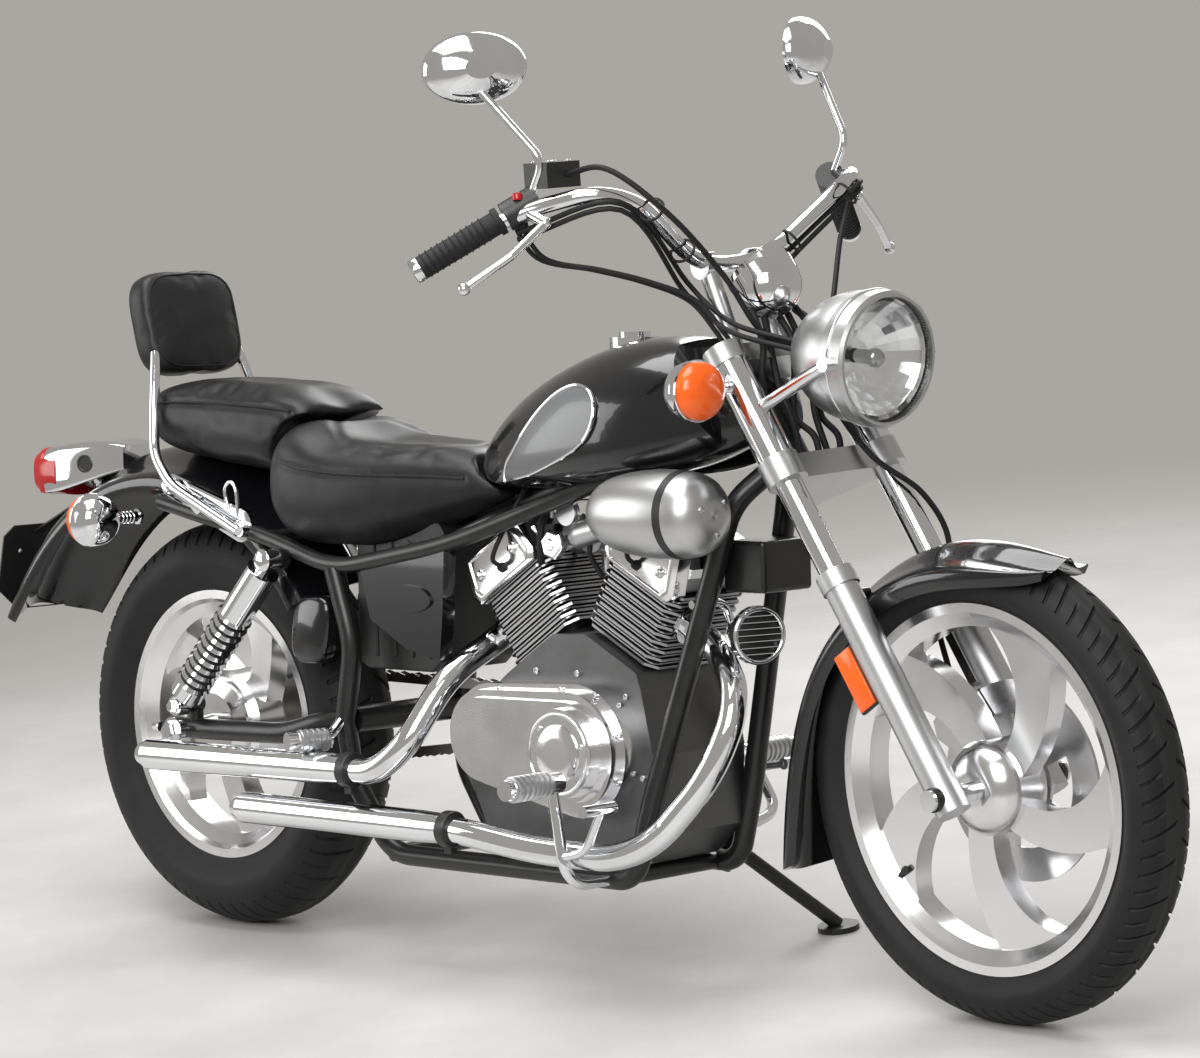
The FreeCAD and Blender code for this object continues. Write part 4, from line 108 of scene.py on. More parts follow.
# Node materials
class Shader:
    """A material's node tree with short calls for the nodes that this scene uses."""

    def __init__(self, name):
        self.material = bpy.data.materials.new(name)
        self.material.use_nodes = True
        self.nodes = self.material.node_tree.nodes
        self.links = self.material.node_tree.links
        self.out = self.nodes["Material Output"]
        self.surface = self.nodes["Principled BSDF"]

    def add(self, kind, **values):
        node = self.nodes.new(kind)
        for key, value in values.items():
            setattr(node, key, value)
        return node

    def feed(self, node, **inputs):
        """Feeds inputs by name, or by number as i0 and i1, with a value or another node's output."""
        for key, value in inputs.items():
            socket = node.inputs[int(key[1:])] if key[0] == "i" and key[1:].isdigit() else node.inputs[
                key.replace("_", " ")]
            if isinstance(value, bpy.types.NodeSocket):
                self.links.new(value, socket)
            else:
                socket.default_value = value
        return node

    def math(self, operation, first, second=0.0):
        node = self.add("ShaderNodeMath", operation=operation)
        self.feed(node, i0=first, i1=second)
        return node.outputs[0]

    def vector(self, operation, first, second=(0, 0, 0)):
        node = self.add("ShaderNodeVectorMath", operation=operation)
        self.feed(node, i0=first, i1=second)
        return node.outputs["Value" if operation in ("DOT_PRODUCT", "LENGTH") else "Vector"]

    def place(self):
        return self.add("ShaderNodeTexCoord").outputs["Object"]

    def normal(self):
        return self.add("ShaderNodeNewGeometry").outputs["Normal"]

    def noise(self, scale, detail, roughness=0.5):
        node = self.add("ShaderNodeTexNoise")
        self.feed(node, Vector=self.place(), Scale=scale, Detail=detail, Roughness=roughness)
        return node.outputs["Fac"]

    def cells(self, scale, feature="F1"):
        node = self.add("ShaderNodeTexVoronoi", feature=feature)
        self.feed(node, Vector=self.place(), Scale=scale)
        return node.outputs["Distance"]

    def ramp(self, fac, *stops):
        node = self.add("ShaderNodeValToRGB")
        self.feed(node, Fac=fac)
        ramp = node.color_ramp
        while len(ramp.elements) < len(stops):
            ramp.elements.new(0.5)
        for element, (spot, colour) in zip(ramp.elements, stops):
            element.position = spot
            element.color = (*colour, 1)
        return node.outputs["Color"]

    def spread(self, fac, low, high):
        node = self.add("ShaderNodeMapRange")
        self.feed(node, Value=fac, To_Min=low, To_Max=high)
        return node.outputs["Result"]

    def mix(self, fac, first, second):
        node = self.add("ShaderNodeMix", data_type="RGBA")
        self.feed(node, Factor=fac)
        for socket, value in ((node.inputs[6], first), (node.inputs[7], second)):
            if isinstance(value, bpy.types.NodeSocket):
                self.links.new(value, socket)
            else:
                socket.default_value = (*value, 1)
        return node.outputs[2]

    def bump(self, height, strength, distance, normal=None):
        node = self.add("ShaderNodeBump")
        self.feed(node, Height=height, Strength=strength, Distance=distance)
        if normal:
            self.feed(node, Normal=normal)
        return node.outputs["Normal"]

    def finish(self, **inputs):
        self.feed(self.surface, **inputs)
        return self.material


def chrome(name, colour, rough, grain):
    """Bright metal with faint smears."""
    s = Shader(name)
    smears = s.noise(14, 4)
    tone = s.ramp(smears, (0.3, tuple(c * 0.93 for c in colour)), (0.7, colour))
    return s.finish(Base_Color=tone, Metallic=1.0, Roughness=s.spread(smears, *rough),
                    Normal=s.bump(s.noise(900, 2), grain, 0.0002))


def satin(name, colour, rough, grain, scale=600.0):
    """Duller metal, with clouds in its tone and a fine grain."""
    s = Shader(name)
    clouds = s.noise(9, 4)
    tone = s.ramp(clouds, (0.3, tuple(c * 0.88 for c in colour)), (0.7, colour))
    return s.finish(Base_Color=tone, Metallic=1.0, Roughness=s.spread(clouds, *rough),
                    Normal=s.bump(s.noise(scale, 3), grain, 0.0003))


def cast(name, colour, rough, metal=0.9):
    """Rough cast metal with a fine pitted grain."""
    s = Shader(name)
    clouds = s.noise(22, 5)
    tone = s.ramp(clouds, (0.25, tuple(c * 0.75 for c in colour)), (0.75, colour))
    grain = s.math("ADD", s.noise(380, 4), s.math("MULTIPLY", s.cells(700), 0.5))
    return s.finish(Base_Color=tone, Metallic=metal, Roughness=s.spread(clouds, *rough),
                    Normal=s.bump(grain, 0.35, 0.0004))


def gloss_paint(name, colour, flake, coat):
    """Paint with fine flakes under a clear coat."""
    s = Shader(name)
    flakes = s.cells(2600)
    tone = s.ramp(flakes, (0.0, tuple(min(1, c * (1 + flake) + 0.004) for c in colour)), (0.6, colour))
    s.finish(Base_Color=tone, Roughness=s.spread(s.noise(6, 3), 0.16, 0.24),
             Normal=s.bump(s.noise(120, 2), 0.03, 0.0004))
    s.surface.inputs["Coat Weight"].default_value = coat
    s.surface.inputs["Specular IOR Level"].default_value = 0.3
    s.surface.inputs["Coat Roughness"].default_value = 0.03
    return s.material


def enamel(name, colour):
    """Plain enamel, a little wavy."""
    s = Shader(name)
    clouds = s.noise(40, 4)
    tone = s.ramp(clouds, (0.3, colour), (0.8, tuple(c * 1.6 + 0.004 for c in colour)))
    return s.finish(Base_Color=tone, Roughness=s.spread(clouds, 0.25, 0.4),
                    Normal=s.bump(s.noise(260, 3), 0.08, 0.0004))


def plastic(name, colour, rough=(0.35, 0.5), grain=0.2, scale=900.0):
    """Plastic with a moulded grain."""
    s = Shader(name)
    clouds = s.noise(30, 3)
    tone = s.ramp(clouds, (0.3, tuple(c * 0.85 for c in colour)), (0.7, colour))
    return s.finish(Base_Color=tone, Roughness=s.spread(clouds, *rough),
                    Normal=s.bump(s.cells(scale), grain, 0.0003))


def vinyl():
    """Black seat vinyl: a leather grain over soft wrinkles."""
    s = Shader("vinyl")
    grain = s.cells(420, "DISTANCE_TO_EDGE")
    wrinkle = s.noise(26, 5)
    tone = s.ramp(wrinkle, (0.25, (0.007, 0.007, 0.0075)), (0.8, (0.015, 0.015, 0.016)))
    s.surface.inputs["Specular IOR Level"].default_value = 0.36
    fine = s.bump(grain, 0.35, 0.0006)
    return s.finish(Base_Color=tone, Roughness=s.spread(wrinkle, 0.36, 0.5),
                    Normal=s.bump(wrinkle, 0.12, 0.002, fine))


def rubber():
    """Matt black rubber of the grips, cables and hoses."""
    s = Shader("grip_rubber")
    s.surface.inputs["Specular IOR Level"].default_value = 0.3
    clouds = s.noise(18, 4)
    colour = (0.009, 0.009, 0.0095)
    tone = s.ramp(clouds, (0.3, colour), (0.8, tuple(c * 1.7 for c in colour)))
    return s.finish(Base_Color=tone, Roughness=s.spread(clouds, 0.5, 0.68),
                    Normal=s.bump(s.noise(500, 3), 0.2, 0.0004))


def tread(name, joint, radius):
    """Tyre rubber with fine rings, a little paler where the tread meets the road."""
    s = Shader(name)
    centre = Vector(JOINTS[joint]["pos_m"])
    axis = Vector(JOINTS[joint]["axis"]).normalized()
    local = s.vector("SUBTRACT", s.place(), tuple(centre))
    across = s.vector("DOT_PRODUCT", local, tuple(axis))
    around = s.vector("LENGTH", local)
    squares = [s.math("MULTIPLY", length, length) for length in (around, across)]
    reach = s.math("SQRT", s.math("SUBTRACT", *squares))
    rings = s.math("MULTIPLY", s.math("SINE", s.math("MULTIPLY", reach, 1500.0)), 0.05)
    clouds = s.noise(24, 4)
    worn = s.spread(s.math("GREATER_THAN", reach, radius - 0.004), 0.0, 0.5)
    tone = s.ramp(clouds, (0.3, (0.008, 0.008, 0.0085)), (0.8, (0.015, 0.015, 0.0155)))
    tone = s.mix(worn, tone, (0.026, 0.026, 0.0255))
    s.surface.inputs["Specular IOR Level"].default_value = 0.28
    grain = s.math("ADD", rings, s.math("MULTIPLY", s.noise(420, 3), 0.25))
    return s.finish(Base_Color=tone, Roughness=s.spread(clouds, 0.52, 0.68), Normal=s.bump(grain, 0.5, 0.001))


def fins():
    """Black barrels whose fins have bright machined rims."""
    s = Shader("fins")
    normal = s.normal()
    flat = 0.0
    for angle in BANKS.values():
        turn = math.radians(angle)
        axis = CHASSIS.to_3x3() @ Vector((math.sin(turn), 0, math.cos(turn)))
        along = s.math("ABSOLUTE", s.vector("DOT_PRODUCT", normal, tuple(axis.normalized())))
        flat = s.math("MAXIMUM", along, flat)
    rim = s.math("LESS_THAN", flat, 0.93)
    tone = s.mix(rim, (0.010, 0.010, 0.0105), (0.36, 0.36, 0.37))
    return s.finish(Base_Color=tone, Metallic=s.spread(rim, 0.2, 1.0), Roughness=s.spread(rim, 0.5, 0.3),
                    Normal=s.bump(s.noise(300, 3), 0.15, 0.0004))


def springs():
    """Chrome coils round a dark damper, told apart by the distance from either damper's axis."""
    s = Shader("shock_springs")
    top, low, core = (238, 140, 571), (20, 140, 345), 0.0245
    dark = 0.0
    coil_foot, coil_top = 0.045, 0.235
    for side in (RIGHT, LEFT):
        start = CHASSIS @ Vector((low[0], side * low[1], low[2]))
        way = (CHASSIS @ Vector((top[0], side * top[1], top[2])) - start).normalized()
        local = s.vector("SUBTRACT", s.place(), tuple(start))
        away = s.vector("LENGTH", s.vector("CROSS_PRODUCT", local, tuple(way)))
        along = s.vector("DOT_PRODUCT", local, tuple(way))
        inside = s.math("MULTIPLY", s.math("LESS_THAN", away, core), s.math("GREATER_THAN", along, coil_foot))
        dark = s.math("MAXIMUM", s.math("MULTIPLY", inside, s.math("LESS_THAN", along, coil_top)), dark)
    smears = s.noise(14, 4)
    tone = s.mix(dark, (0.78, 0.79, 0.81), (0.012, 0.012, 0.012))
    return s.finish(Base_Color=tone, Metallic=s.spread(dark, 1.0, 0.2), Roughness=s.spread(dark, 0.07, 0.5),
                    Normal=s.bump(smears, 0.03, 0.0004))


def glass():
    """The headlamp's clear lens."""
    s = Shader("clear_lens")
    ribs = s.noise(60, 2)
    colour = (0.96, 0.97, 0.98)
    s.finish(Base_Color=s.ramp(ribs, (0.3, colour), (0.7, tuple(c * 0.97 for c in colour))),
             Roughness=s.spread(ribs, 0.0, 0.02))
    s.surface.inputs["Transmission Weight"].default_value = 1.0
    s.surface.inputs["IOR"].default_value = 1.25
    return s.material


MATERIALS = {
    "chrome": chrome("chrome", (0.80, 0.81, 0.83), (0.03, 0.10), 0.02),
    "alloy": satin("polished_alloy", (0.82, 0.82, 0.83), (0.10, 0.2), 0.04, 900.0),
    "wheel": satin("wheel_alloy", (0.80, 0.80, 0.81), (0.14, 0.26), 0.05, 700.0),
    "slider": satin("slider_alloy", (0.62, 0.63, 0.64), (0.34, 0.44), 0.06),
    "mirror": chrome("mirror_bowl", (0.95, 0.95, 0.95), (0.12, 0.2), 0.01),
    "white": plastic("white_print", (0.70, 0.70, 0.68), (0.4, 0.5)),
    "satin": satin("satin_chrome", (0.56, 0.565, 0.57), (0.30, 0.40), 0.07),
    "case": cast("crankcase_grey", (0.15, 0.15, 0.152), (0.34, 0.5)),
    "fins": fins(),
    "black_paint": gloss_paint("black_paint", (0.004, 0.004, 0.005), 0.35, 0.7),
    "silver_paint": gloss_paint("panel_silver", (0.115, 0.117, 0.12), 0.9, 0.25),
    "frame_black": enamel("frame_enamel", (0.006, 0.006, 0.006)),
    "plate_black": plastic("bracket_black", (0.012, 0.012, 0.012)),
    "vinyl": vinyl(),
    "rubber": rubber(),
    "front_tread": tread("front_tread", "front_wheel_spin", 0.307),
    "rear_tread": tread("rear_tread", "rear_wheel_spin", 0.306),
    "switch": plastic("switch_black", (0.016, 0.016, 0.016)),
    "steel": satin("disc_steel", (0.58, 0.58, 0.59), (0.22, 0.34), 0.1, 300.0),
    "chain": cast("chain_steel", (0.30, 0.29, 0.27), (0.3, 0.5), 1.0),
    "clear": glass(),
    "red": plastic("red_lens", (0.42, 0.012, 0.012), (0.08, 0.16), 0.1, 300.0),
    "orange": plastic("orange_lens", (0.92, 0.13, 0.01), (0.10, 0.18), 0.1, 300.0),
    "springs": springs(),
}
# The CAD nodes that wear each look
LOOKS = {
    "chrome": ["cylinder_head_covers", "front_exhaust", "rear_exhaust", "filler_cap", "sissy_bar",
               "tail_lamp", "horn", "footpegs", "foot_controls", "handlebar", "mirrors", "speedometer",
               "front_axle", "rear_axle", "fork_stanchions", "front_turn_signals", "rear_turn_signals"],
    "satin": ["air_cleaner", "triple_clamps", "carburettor", "headlamp_shell"],
    "alloy": ["engine_side_covers", "rear_brake_panel", "hand_levers"],
    "wheel": ["front_rim", "rear_rim"],
    "slider": ["fork_sliders"],
    "case": ["crankcase"],
    "fins": ["cylinders"],
    "black_paint": ["fuel_tank", "rear_fender", "front_fender", "side_covers"],
    "silver_paint": ["tank_panels"],
    "frame_black": ["frame", "swingarm", "side_stand", "electrics_box"],
    "plate_black": ["plate_bracket"],
    "vinyl": ["rider_seat", "pillion_seat", "backrest_pad"],
    "rubber": ["hand_grips"],
    "front_tread": ["front_tyre"],
    "rear_tread": ["rear_tyre"],
    "switch": ["bar_controls"],
    "steel": ["brake_disc", "brake_caliper"],
    "chain": ["rear_sprocket", "drive_chain"],
    "clear": ["headlamp_lens"],
    "red": ["tail_lens"],
    "springs": ["rear_shocks"],
}
# Each CAD node's materials give way to its look
for look, names in LOOKS.items():
    for name in names:
        NODES[name].data.materials.clear()
        NODES[name].data.materials.append(MATERIALS[look])


# Tools for pieces, all drawn in the upright bike's millimetres
def piece(name, body, verts, faces, look, smooth=True):
    """A mesh of the upright bike that rides on a body, in its look."""
    data = bpy.data.meshes.new(name)
    data.from_pydata([tuple(v) for v in verts], [], faces)
    data.transform(SPACES[body])
    data.validate()
    drawing = bmesh.new()
    drawing.from_mesh(data)
    bmesh.ops.recalc_face_normals(drawing, faces=drawing.faces)
    drawing.to_mesh(data)
    drawing.free()
    data.materials.append(MATERIALS[look])
    for polygon in data.polygons:
        polygon.use_smooth = smooth
    thing = bpy.data.objects.new(name, data)
    bpy.context.scene.collection.objects.link(thing)
    if smooth:
        split = thing.modifiers.new("edges", "EDGE_SPLIT")
        split.split_angle = math.radians(38)
    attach(thing, body)
    return thing


class Build:
    """Collects the vertices and faces of joined small parts."""

    def __init__(self):
        self.verts = []
        self.faces = []

    def add(self, verts, faces):
        start = len(self.verts)
        self.verts += verts
        self.faces += [[start + index for index in face] for face in faces]
        return self

    def lathe(self, centre, axis, profile, segments, closed_ends=True):
        """Turns (along, radius) points about an axis."""
        centre, axis = Vector(centre), Vector(axis).normalized()
        side = axis.orthogonal().normalized()
        other = axis.cross(side)
        verts = []
        for along, radius in profile:
            for step in range(segments):
                angle = 2 * math.pi * step / segments
                out = side * math.cos(angle) + other * math.sin(angle)
                verts.append(centre + axis * along + out * radius)
        faces = []
        for row in range(len(profile) - 1):
            faces += ring_faces(segments, row + 1, row)
        if closed_ends:
            faces.append(list(range(segments)))
            last = (len(profile) - 1) * segments
            faces.append([last + step for step in range(segments)])
        return self.add(verts, faces)

    def ring(self, centre, axis, radius, thickness, segments, sides):
        """A ring of round wire; about an axis that lies along x its points fall together on the axis."""
        centre, axis, along = Vector(centre), Vector(axis).normalized(), Vector((1, 0, 0))
        side = (along - axis * along.dot(axis)).normalized()
        other = axis.cross(side)
        verts, faces = [], []
        for step in range(segments):
            angle = 2 * math.pi * step / segments
            out = side * math.cos(angle) + other * math.sin(angle)
            for turn in range(sides):
                roll = 2 * math.pi * turn / sides
                verts.append(centre + out * radius + out.normalized() * thickness * math.cos(roll)
                             + axis * thickness * math.sin(roll))
            faces += ring_faces(sides, (step + 1) % segments, step)
        return self.add(verts, faces)

    def run(self, points, radius, sides, smooth=True, closed=False):
        """Round wire along points."""
        points = [Vector(p) for p in points]
        if smooth:
            points = curve_points(points, closed)
        count = len(points)
        verts, faces = [], []
        up = None
        for index, point in enumerate(points):
            after = points[(index + 1) % count] if closed or index + 1 < count else point
            before = points[index - 1] if closed or index > 0 else point
            ahead = (after - before).normalized()
            if up is None:
                up = ahead.orthogonal().normalized()
            up = (up - ahead * up.dot(ahead)).normalized()
            side = ahead.cross(up)
            for turn in range(sides):
                roll = 2 * math.pi * turn / sides
                verts.append(point + (up * math.cos(roll) + side * math.sin(roll)) * radius)
        for index in range(count if closed else count - 1):
            faces += ring_faces(sides, (index + 1) % count, index)
        if not closed:
            faces.append(list(range(sides)))
            faces.append([(count - 1) * sides + turn for turn in range(sides)])
        return self.add(verts, faces)

    def bolt(self, centre, axis, radius, height):
        """A hexagon head on a washer, with a chamfered top."""
        washer = height * 0.18
        self.lathe(centre, axis, [(0, radius * 1.35), (washer, radius * 1.35)], 20)
        profile = [(washer, radius), (height * 0.85, radius), (height, radius * 0.82)]
        return self.lathe(centre, axis, profile, 6)

    def cap_screw(self, centre, axis, radius, height):
        """A round socket-head screw."""
        profile = [(0, radius), (height * 0.85, radius), (height, radius * 0.86), (height, radius * 0.5),
                   (height * 0.4, radius * 0.5)]
        return self.lathe(centre, axis, profile, 16)

    def loft(self, rings):
        """Joins closed rings of points, one after the other, and caps both ends."""
        count = len(rings[0])
        last = (len(rings) - 1) * count
        faces = [list(range(count)), [last + step for step in range(count)]]
        for row in range(len(rings) - 1):
            faces += ring_faces(count, row + 1, row)
        return self.add([point for ring in rings for point in ring], faces)

    def box(self, centre, axes, sizes):
        """A box with its sizes along three axes."""
        centre = Vector(centre)
        x, y, z = (Vector(axis).normalized() * size / 2 for axis, size in zip(axes, sizes))
        verts = [centre + x * a + y * b + z * c for a in (-1, 1) for b in (-1, 1) for c in (-1, 1)]
        faces = [[0, 1, 3, 2], [4, 6, 7, 5], [0, 4, 5, 1], [2, 3, 7, 6], [0, 2, 6, 4], [1, 5, 7, 3]]
        return self.add(verts, faces)

    def make(self, name, body, look, smooth=True, bevel=0.0, slot=None):
        """Turns what was collected into a piece, with rounded edges where a bevel is given in metres."""
        thing = piece(name, body, self.verts, self.faces, look, smooth)
        if bevel:
            soft = thing.modifiers.new("bevel", "BEVEL")
            soft.width = bevel
            soft.segments = 3
            soft.limit_method = "ANGLE"
            thing.modifiers.move(len(thing.modifiers) - 1, 0)
        return thing


def ring_faces(count, following, row):
    """Faces from one ring of points to another."""
    return [[row * count + step, row * count + (step + 1) % count, following * count + (step + 1) % count,
             following * count + step] for step in range(count)]


def squareness(angle, power):
    """What a circle's radius is divided by to give a square with round corners."""
    return (abs(math.cos(angle)) ** power + abs(math.sin(angle)) ** power) ** (1 / power)


def curve_points(points, closed=False, steps=8):
    """A smooth line through points."""
    count = len(points)
    spans = count if closed else count - 1
    result = []
    for index in range(spans):
        p1, p2 = points[index], points[(index + 1) % count]
        p0 = points[index - 1] if closed or index > 0 else p1 * 2 - p2
        p3 = points[(index + 2) % count] if closed or index + 2 < count else p2 * 2 - p1
        for step in range(steps):
            t = step / steps
            result.append(0.5 * ((2 * p1) + (p2 - p0) * t + (2 * p0 - 5 * p1 + 4 * p2 - p3) * t * t
                                 + (3 * p1 - p0 - 3 * p2 + p3) * t ** 3))
    if not closed:
        result.append(points[-1])
    return result


# Soft goods: the CAD cushions, puffed up and given their seams
CLOTH_FRAMES = 20
WELT_GROOVE = {"width": 0.011, "depth": 0.0035}


def cushion(node, voxel, cap, pressure, shrink=0.003, data=None):
    """Cloth under pressure over a CAD cushion, or over a fuller form that is given for it."""
    data = data or NODES[node].data.copy()
    data.name = node + "_cover"
    thing = bpy.data.objects.new(node + "_cover", data)
    bpy.context.scene.collection.objects.link(thing)
    work = bmesh.new()
    work.from_mesh(data)
    bmesh.ops.remove_doubles(work, verts=work.verts, dist=0.0002)
    work.normal_update()
    for vert in work.verts:
        vert.co -= vert.normal * shrink
    work.to_mesh(data)
    work.free()
    bpy.context.view_layer.objects.active = thing
    bpy.ops.object.select_all(action="DESELECT")
    thing.select_set(True)
    remesh = thing.modifiers.new("remesh", "REMESH")
    remesh.mode = "VOXEL"
    remesh.voxel_size = voxel
    bpy.ops.object.modifier_apply(modifier="remesh")
    smooth = thing.modifiers.new("even", "SMOOTH")
    smooth.iterations = 8
    bpy.ops.object.modifier_apply(modifier="even")
    start = [vert.co.copy() for vert in thing.data.vertices]
    cloth = thing.modifiers.new("cloth", "CLOTH")
    settings = cloth.settings
    settings.use_pressure = True
    settings.uniform_pressure_force = pressure
    settings.quality = 4
    settings.shrink_min = 0.03
    settings.bending_stiffness = 4
    settings.effector_weights.gravity = 0
    cloth.collision_settings.use_collision = False
    scene = bpy.context.scene
    for number in range(1, CLOTH_FRAMES + 1):
        scene.frame_set(number)
    shape = thing.evaluated_get(bpy.context.evaluated_depsgraph_get()).to_mesh()
    moved = [vert.co.copy() for vert in shape.vertices]
    thing.evaluated_get(bpy.context.evaluated_depsgraph_get()).to_mesh_clear()
    thing.modifiers.remove(cloth)
    scene.frame_set(1)
    for vert, old, new in zip(thing.data.vertices, start, moved):
        step = new - old
        vert.co = old + step * min(1, cap / max(step.length, 1e-9))
    polish = thing.modifiers.new("even", "SMOOTH")
    polish.iterations = 5
    bpy.ops.object.modifier_apply(modifier="even")
    for polygon in thing.data.polygons:
        polygon.use_smooth = True
    thing.data.materials.clear()
    thing.data.materials.append(MATERIALS["vinyl"])
    return thing


def carve(thing, points, width, depth):
    """Presses a seam into a cushion along a line of row-frame points."""
    tree = KDTree(len(points))
    for index, point in enumerate(points):
        tree.insert(point, index)
    tree.balance()
    for vert, normal in [(v, v.normal.copy()) for v in thing.data.vertices]:
        _, _, distance = tree.find(vert.co)
        if distance < width:
            vert.co -= normal * depth * (1 - (distance / width) ** 2) ** 2


def on_skin(thing, starts, towards):
    """Where rays from points of the upright bike meet a piece."""
    data = thing.data
    tree = BVHTree.FromPolygons([v.co for v in data.vertices], [list(p.vertices) for p in data.polygons])
    found = []
    for start, goal in zip(starts, towards):
        origin = CHASSIS @ Vector(start)
        way = (CHASSIS @ Vector(goal) - origin).normalized()
        hit, normal, _, _ = tree.ray_cast(origin, way)
        if hit:
            found.append((hit, normal))
    return found


def welt(name, thing, starts, towards, radius=0.0022, closed=False, groove=True):
    """A piped seam that lies on a cushion."""
    hits = on_skin(thing, starts, towards)
    if groove:
        carve(thing, curve_points([hit for hit, _ in hits], closed, 6), **WELT_GROOVE)
        hits = on_skin(thing, starts, towards)
    back = CHASSIS.inverted()
    line = [back @ (hit + normal * radius * 0.2) for hit, normal in hits]
    Build().run(line, radius * 1000, 8, True, closed).make(name, "chassis", "vinyl")


def finish_cushion(thing, node):
    """Rounds a cushion off and puts it in its CAD node's place."""
    divide = thing.modifiers.new("fine", "SUBSURF")
    divide.levels = 1
    divide.render_levels = 1
    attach(thing, "chassis")
    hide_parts(node)


def pad_form(middle, up, ahead):
    """The backrest's rounded form, full enough in front to take in the rods' ends."""
    rows = ((14, 0.45), (13.5, 0.70), (10, 0.88), (3, 0.98), (-8, 1.0), (-30, 1.0), (-42, 0.95), (-48, 0.82),
            (-50, 0.5))
    count, power, half, rise = 64, 4.2, 98, 86
    rings = []
    for depth, share in rows:
        ring = []
        for step in range(count):
            angle = 2 * math.pi * step / count
            reach = share / squareness(angle, power)
            spot = middle + ahead * depth + Vector((0, half * math.cos(angle) * reach, 0))
            ring.append(CHASSIS @ (spot + up * (rise * math.sin(angle) * reach)))
        rings.append(ring)
    form = Build().loft(rings)
    data = bpy.data.meshes.new("pad_form")
    data.from_pydata([tuple(vert) for vert in form.verts], [], form.faces)
    work = bmesh.new()
    work.from_mesh(data)
    bmesh.ops.recalc_face_normals(work, faces=work.faces)
    work.to_mesh(data)
    work.free()
    return data


def side_welts(cushion_piece, name, line, reach):
    """A welt on each side of a seat, where rays from the side along a line of (x, z) points meet it."""
    for hand, side in SIDES.items():
        starts = [(x, side * reach, z) for x, z in line]
        goals = [(x, 0, z) for x, z in line]
        welt(f"{name}_welt_{hand}", cushion_piece, starts, goals)


def rider_seat():
    """The broad seat, with a pressed ring round its dish."""
    seat = cushion("rider_seat", 0.006, 0.010, 4.0)
    side_welts(seat, "rider_seat", ((205, 722), (240, 716), (290, 706), (350, 700), (410, 697), (470, 696),
                                    (530, 695), (590, 692), (630, 688)), 260)
    centre, half_long, half_wide = 405, 135, 92
    ring = []
    for step in range(20):
        angle = 2 * math.pi * step / 20
        ring.append((centre + half_long * math.cos(angle), half_wide * math.sin(angle)))
    hits = on_skin(seat, [(x, y, 900) for x, y in ring], [(x, y, 600) for x, y in ring])
    carve(seat, curve_points([hit for hit, _ in hits], True, 8), 0.013, 0.0028)
    finish_cushion(seat, "rider_seat")


def pillion_seat():
    """The raised seat behind, with a welt on each side."""
    seat = cushion("pillion_seat", 0.006, 0.009, 4.0)
    side_welts(seat, "pillion_seat", ((-100, 790), (-70, 796), (-20, 799), (40, 798), (100, 796), (160, 793),
                                      (200, 790), (232, 786)), 220)
    finish_cushion(seat, "pillion_seat")


def backrest():
    """The backrest's pad, leaning back, with a thin welt round its face."""
    lean = math.radians(-13)
    up = Vector((math.sin(lean), 0, math.cos(lean)))
    ahead = Vector((math.cos(lean), 0, -math.sin(lean)))
    middle = Vector((-64, 0, 836)) + up * 86
    pad = cushion("backrest_pad", 0.005, 0.006, 4.0, 0.002, pad_form(middle, up, ahead))
    starts, goals = [], []
    for step in range(28):
        angle = 2 * math.pi * step / 28
        across = math.copysign(abs(math.cos(angle)) ** 0.5, math.cos(angle))
        rise = math.copysign(abs(math.sin(angle)) ** 0.5, math.sin(angle))
        spot = middle + Vector((0, 82 * across, 0)) + up * (72 * rise)
        starts.append(spot + ahead * 120)
        goals.append(spot)
    welt("backrest_welt", pad, starts, goals, 0.0012, True, False)
    finish_cushion(pad, "backrest_pad")


rider_seat()
pillion_seat()
backrest()


# Places on the CAD nodes' surfaces
def skin(*names):
    """Finds where a line between two points of the upright bike meets CAD nodes."""
    verts, faces = [], []
    for name in names:
        data = NODES[name].data
        start = len(verts)
        verts += [vert.co.copy() for vert in data.vertices]
        faces += [[start + index for index in polygon.vertices] for polygon in data.polygons]
    tree = BVHTree.FromPolygons(verts, faces)

    def meet(start, goal, body="chassis"):
        space = SPACES[body]
        origin = space @ Vector(start)
        way = space @ Vector(goal) - origin
        place, normal, _, _ = tree.ray_cast(origin, way.normalized(), way.length)
        if place is None:
            return None
        back = space.inverted()
        return back @ place, (back.to_3x3() @ normal).normalized()

    return meet


def mirror(point, side):
    """A point whose y is given as a distance from the middle, on either side."""
    return Vector((point[0], side * point[1], point[2]))


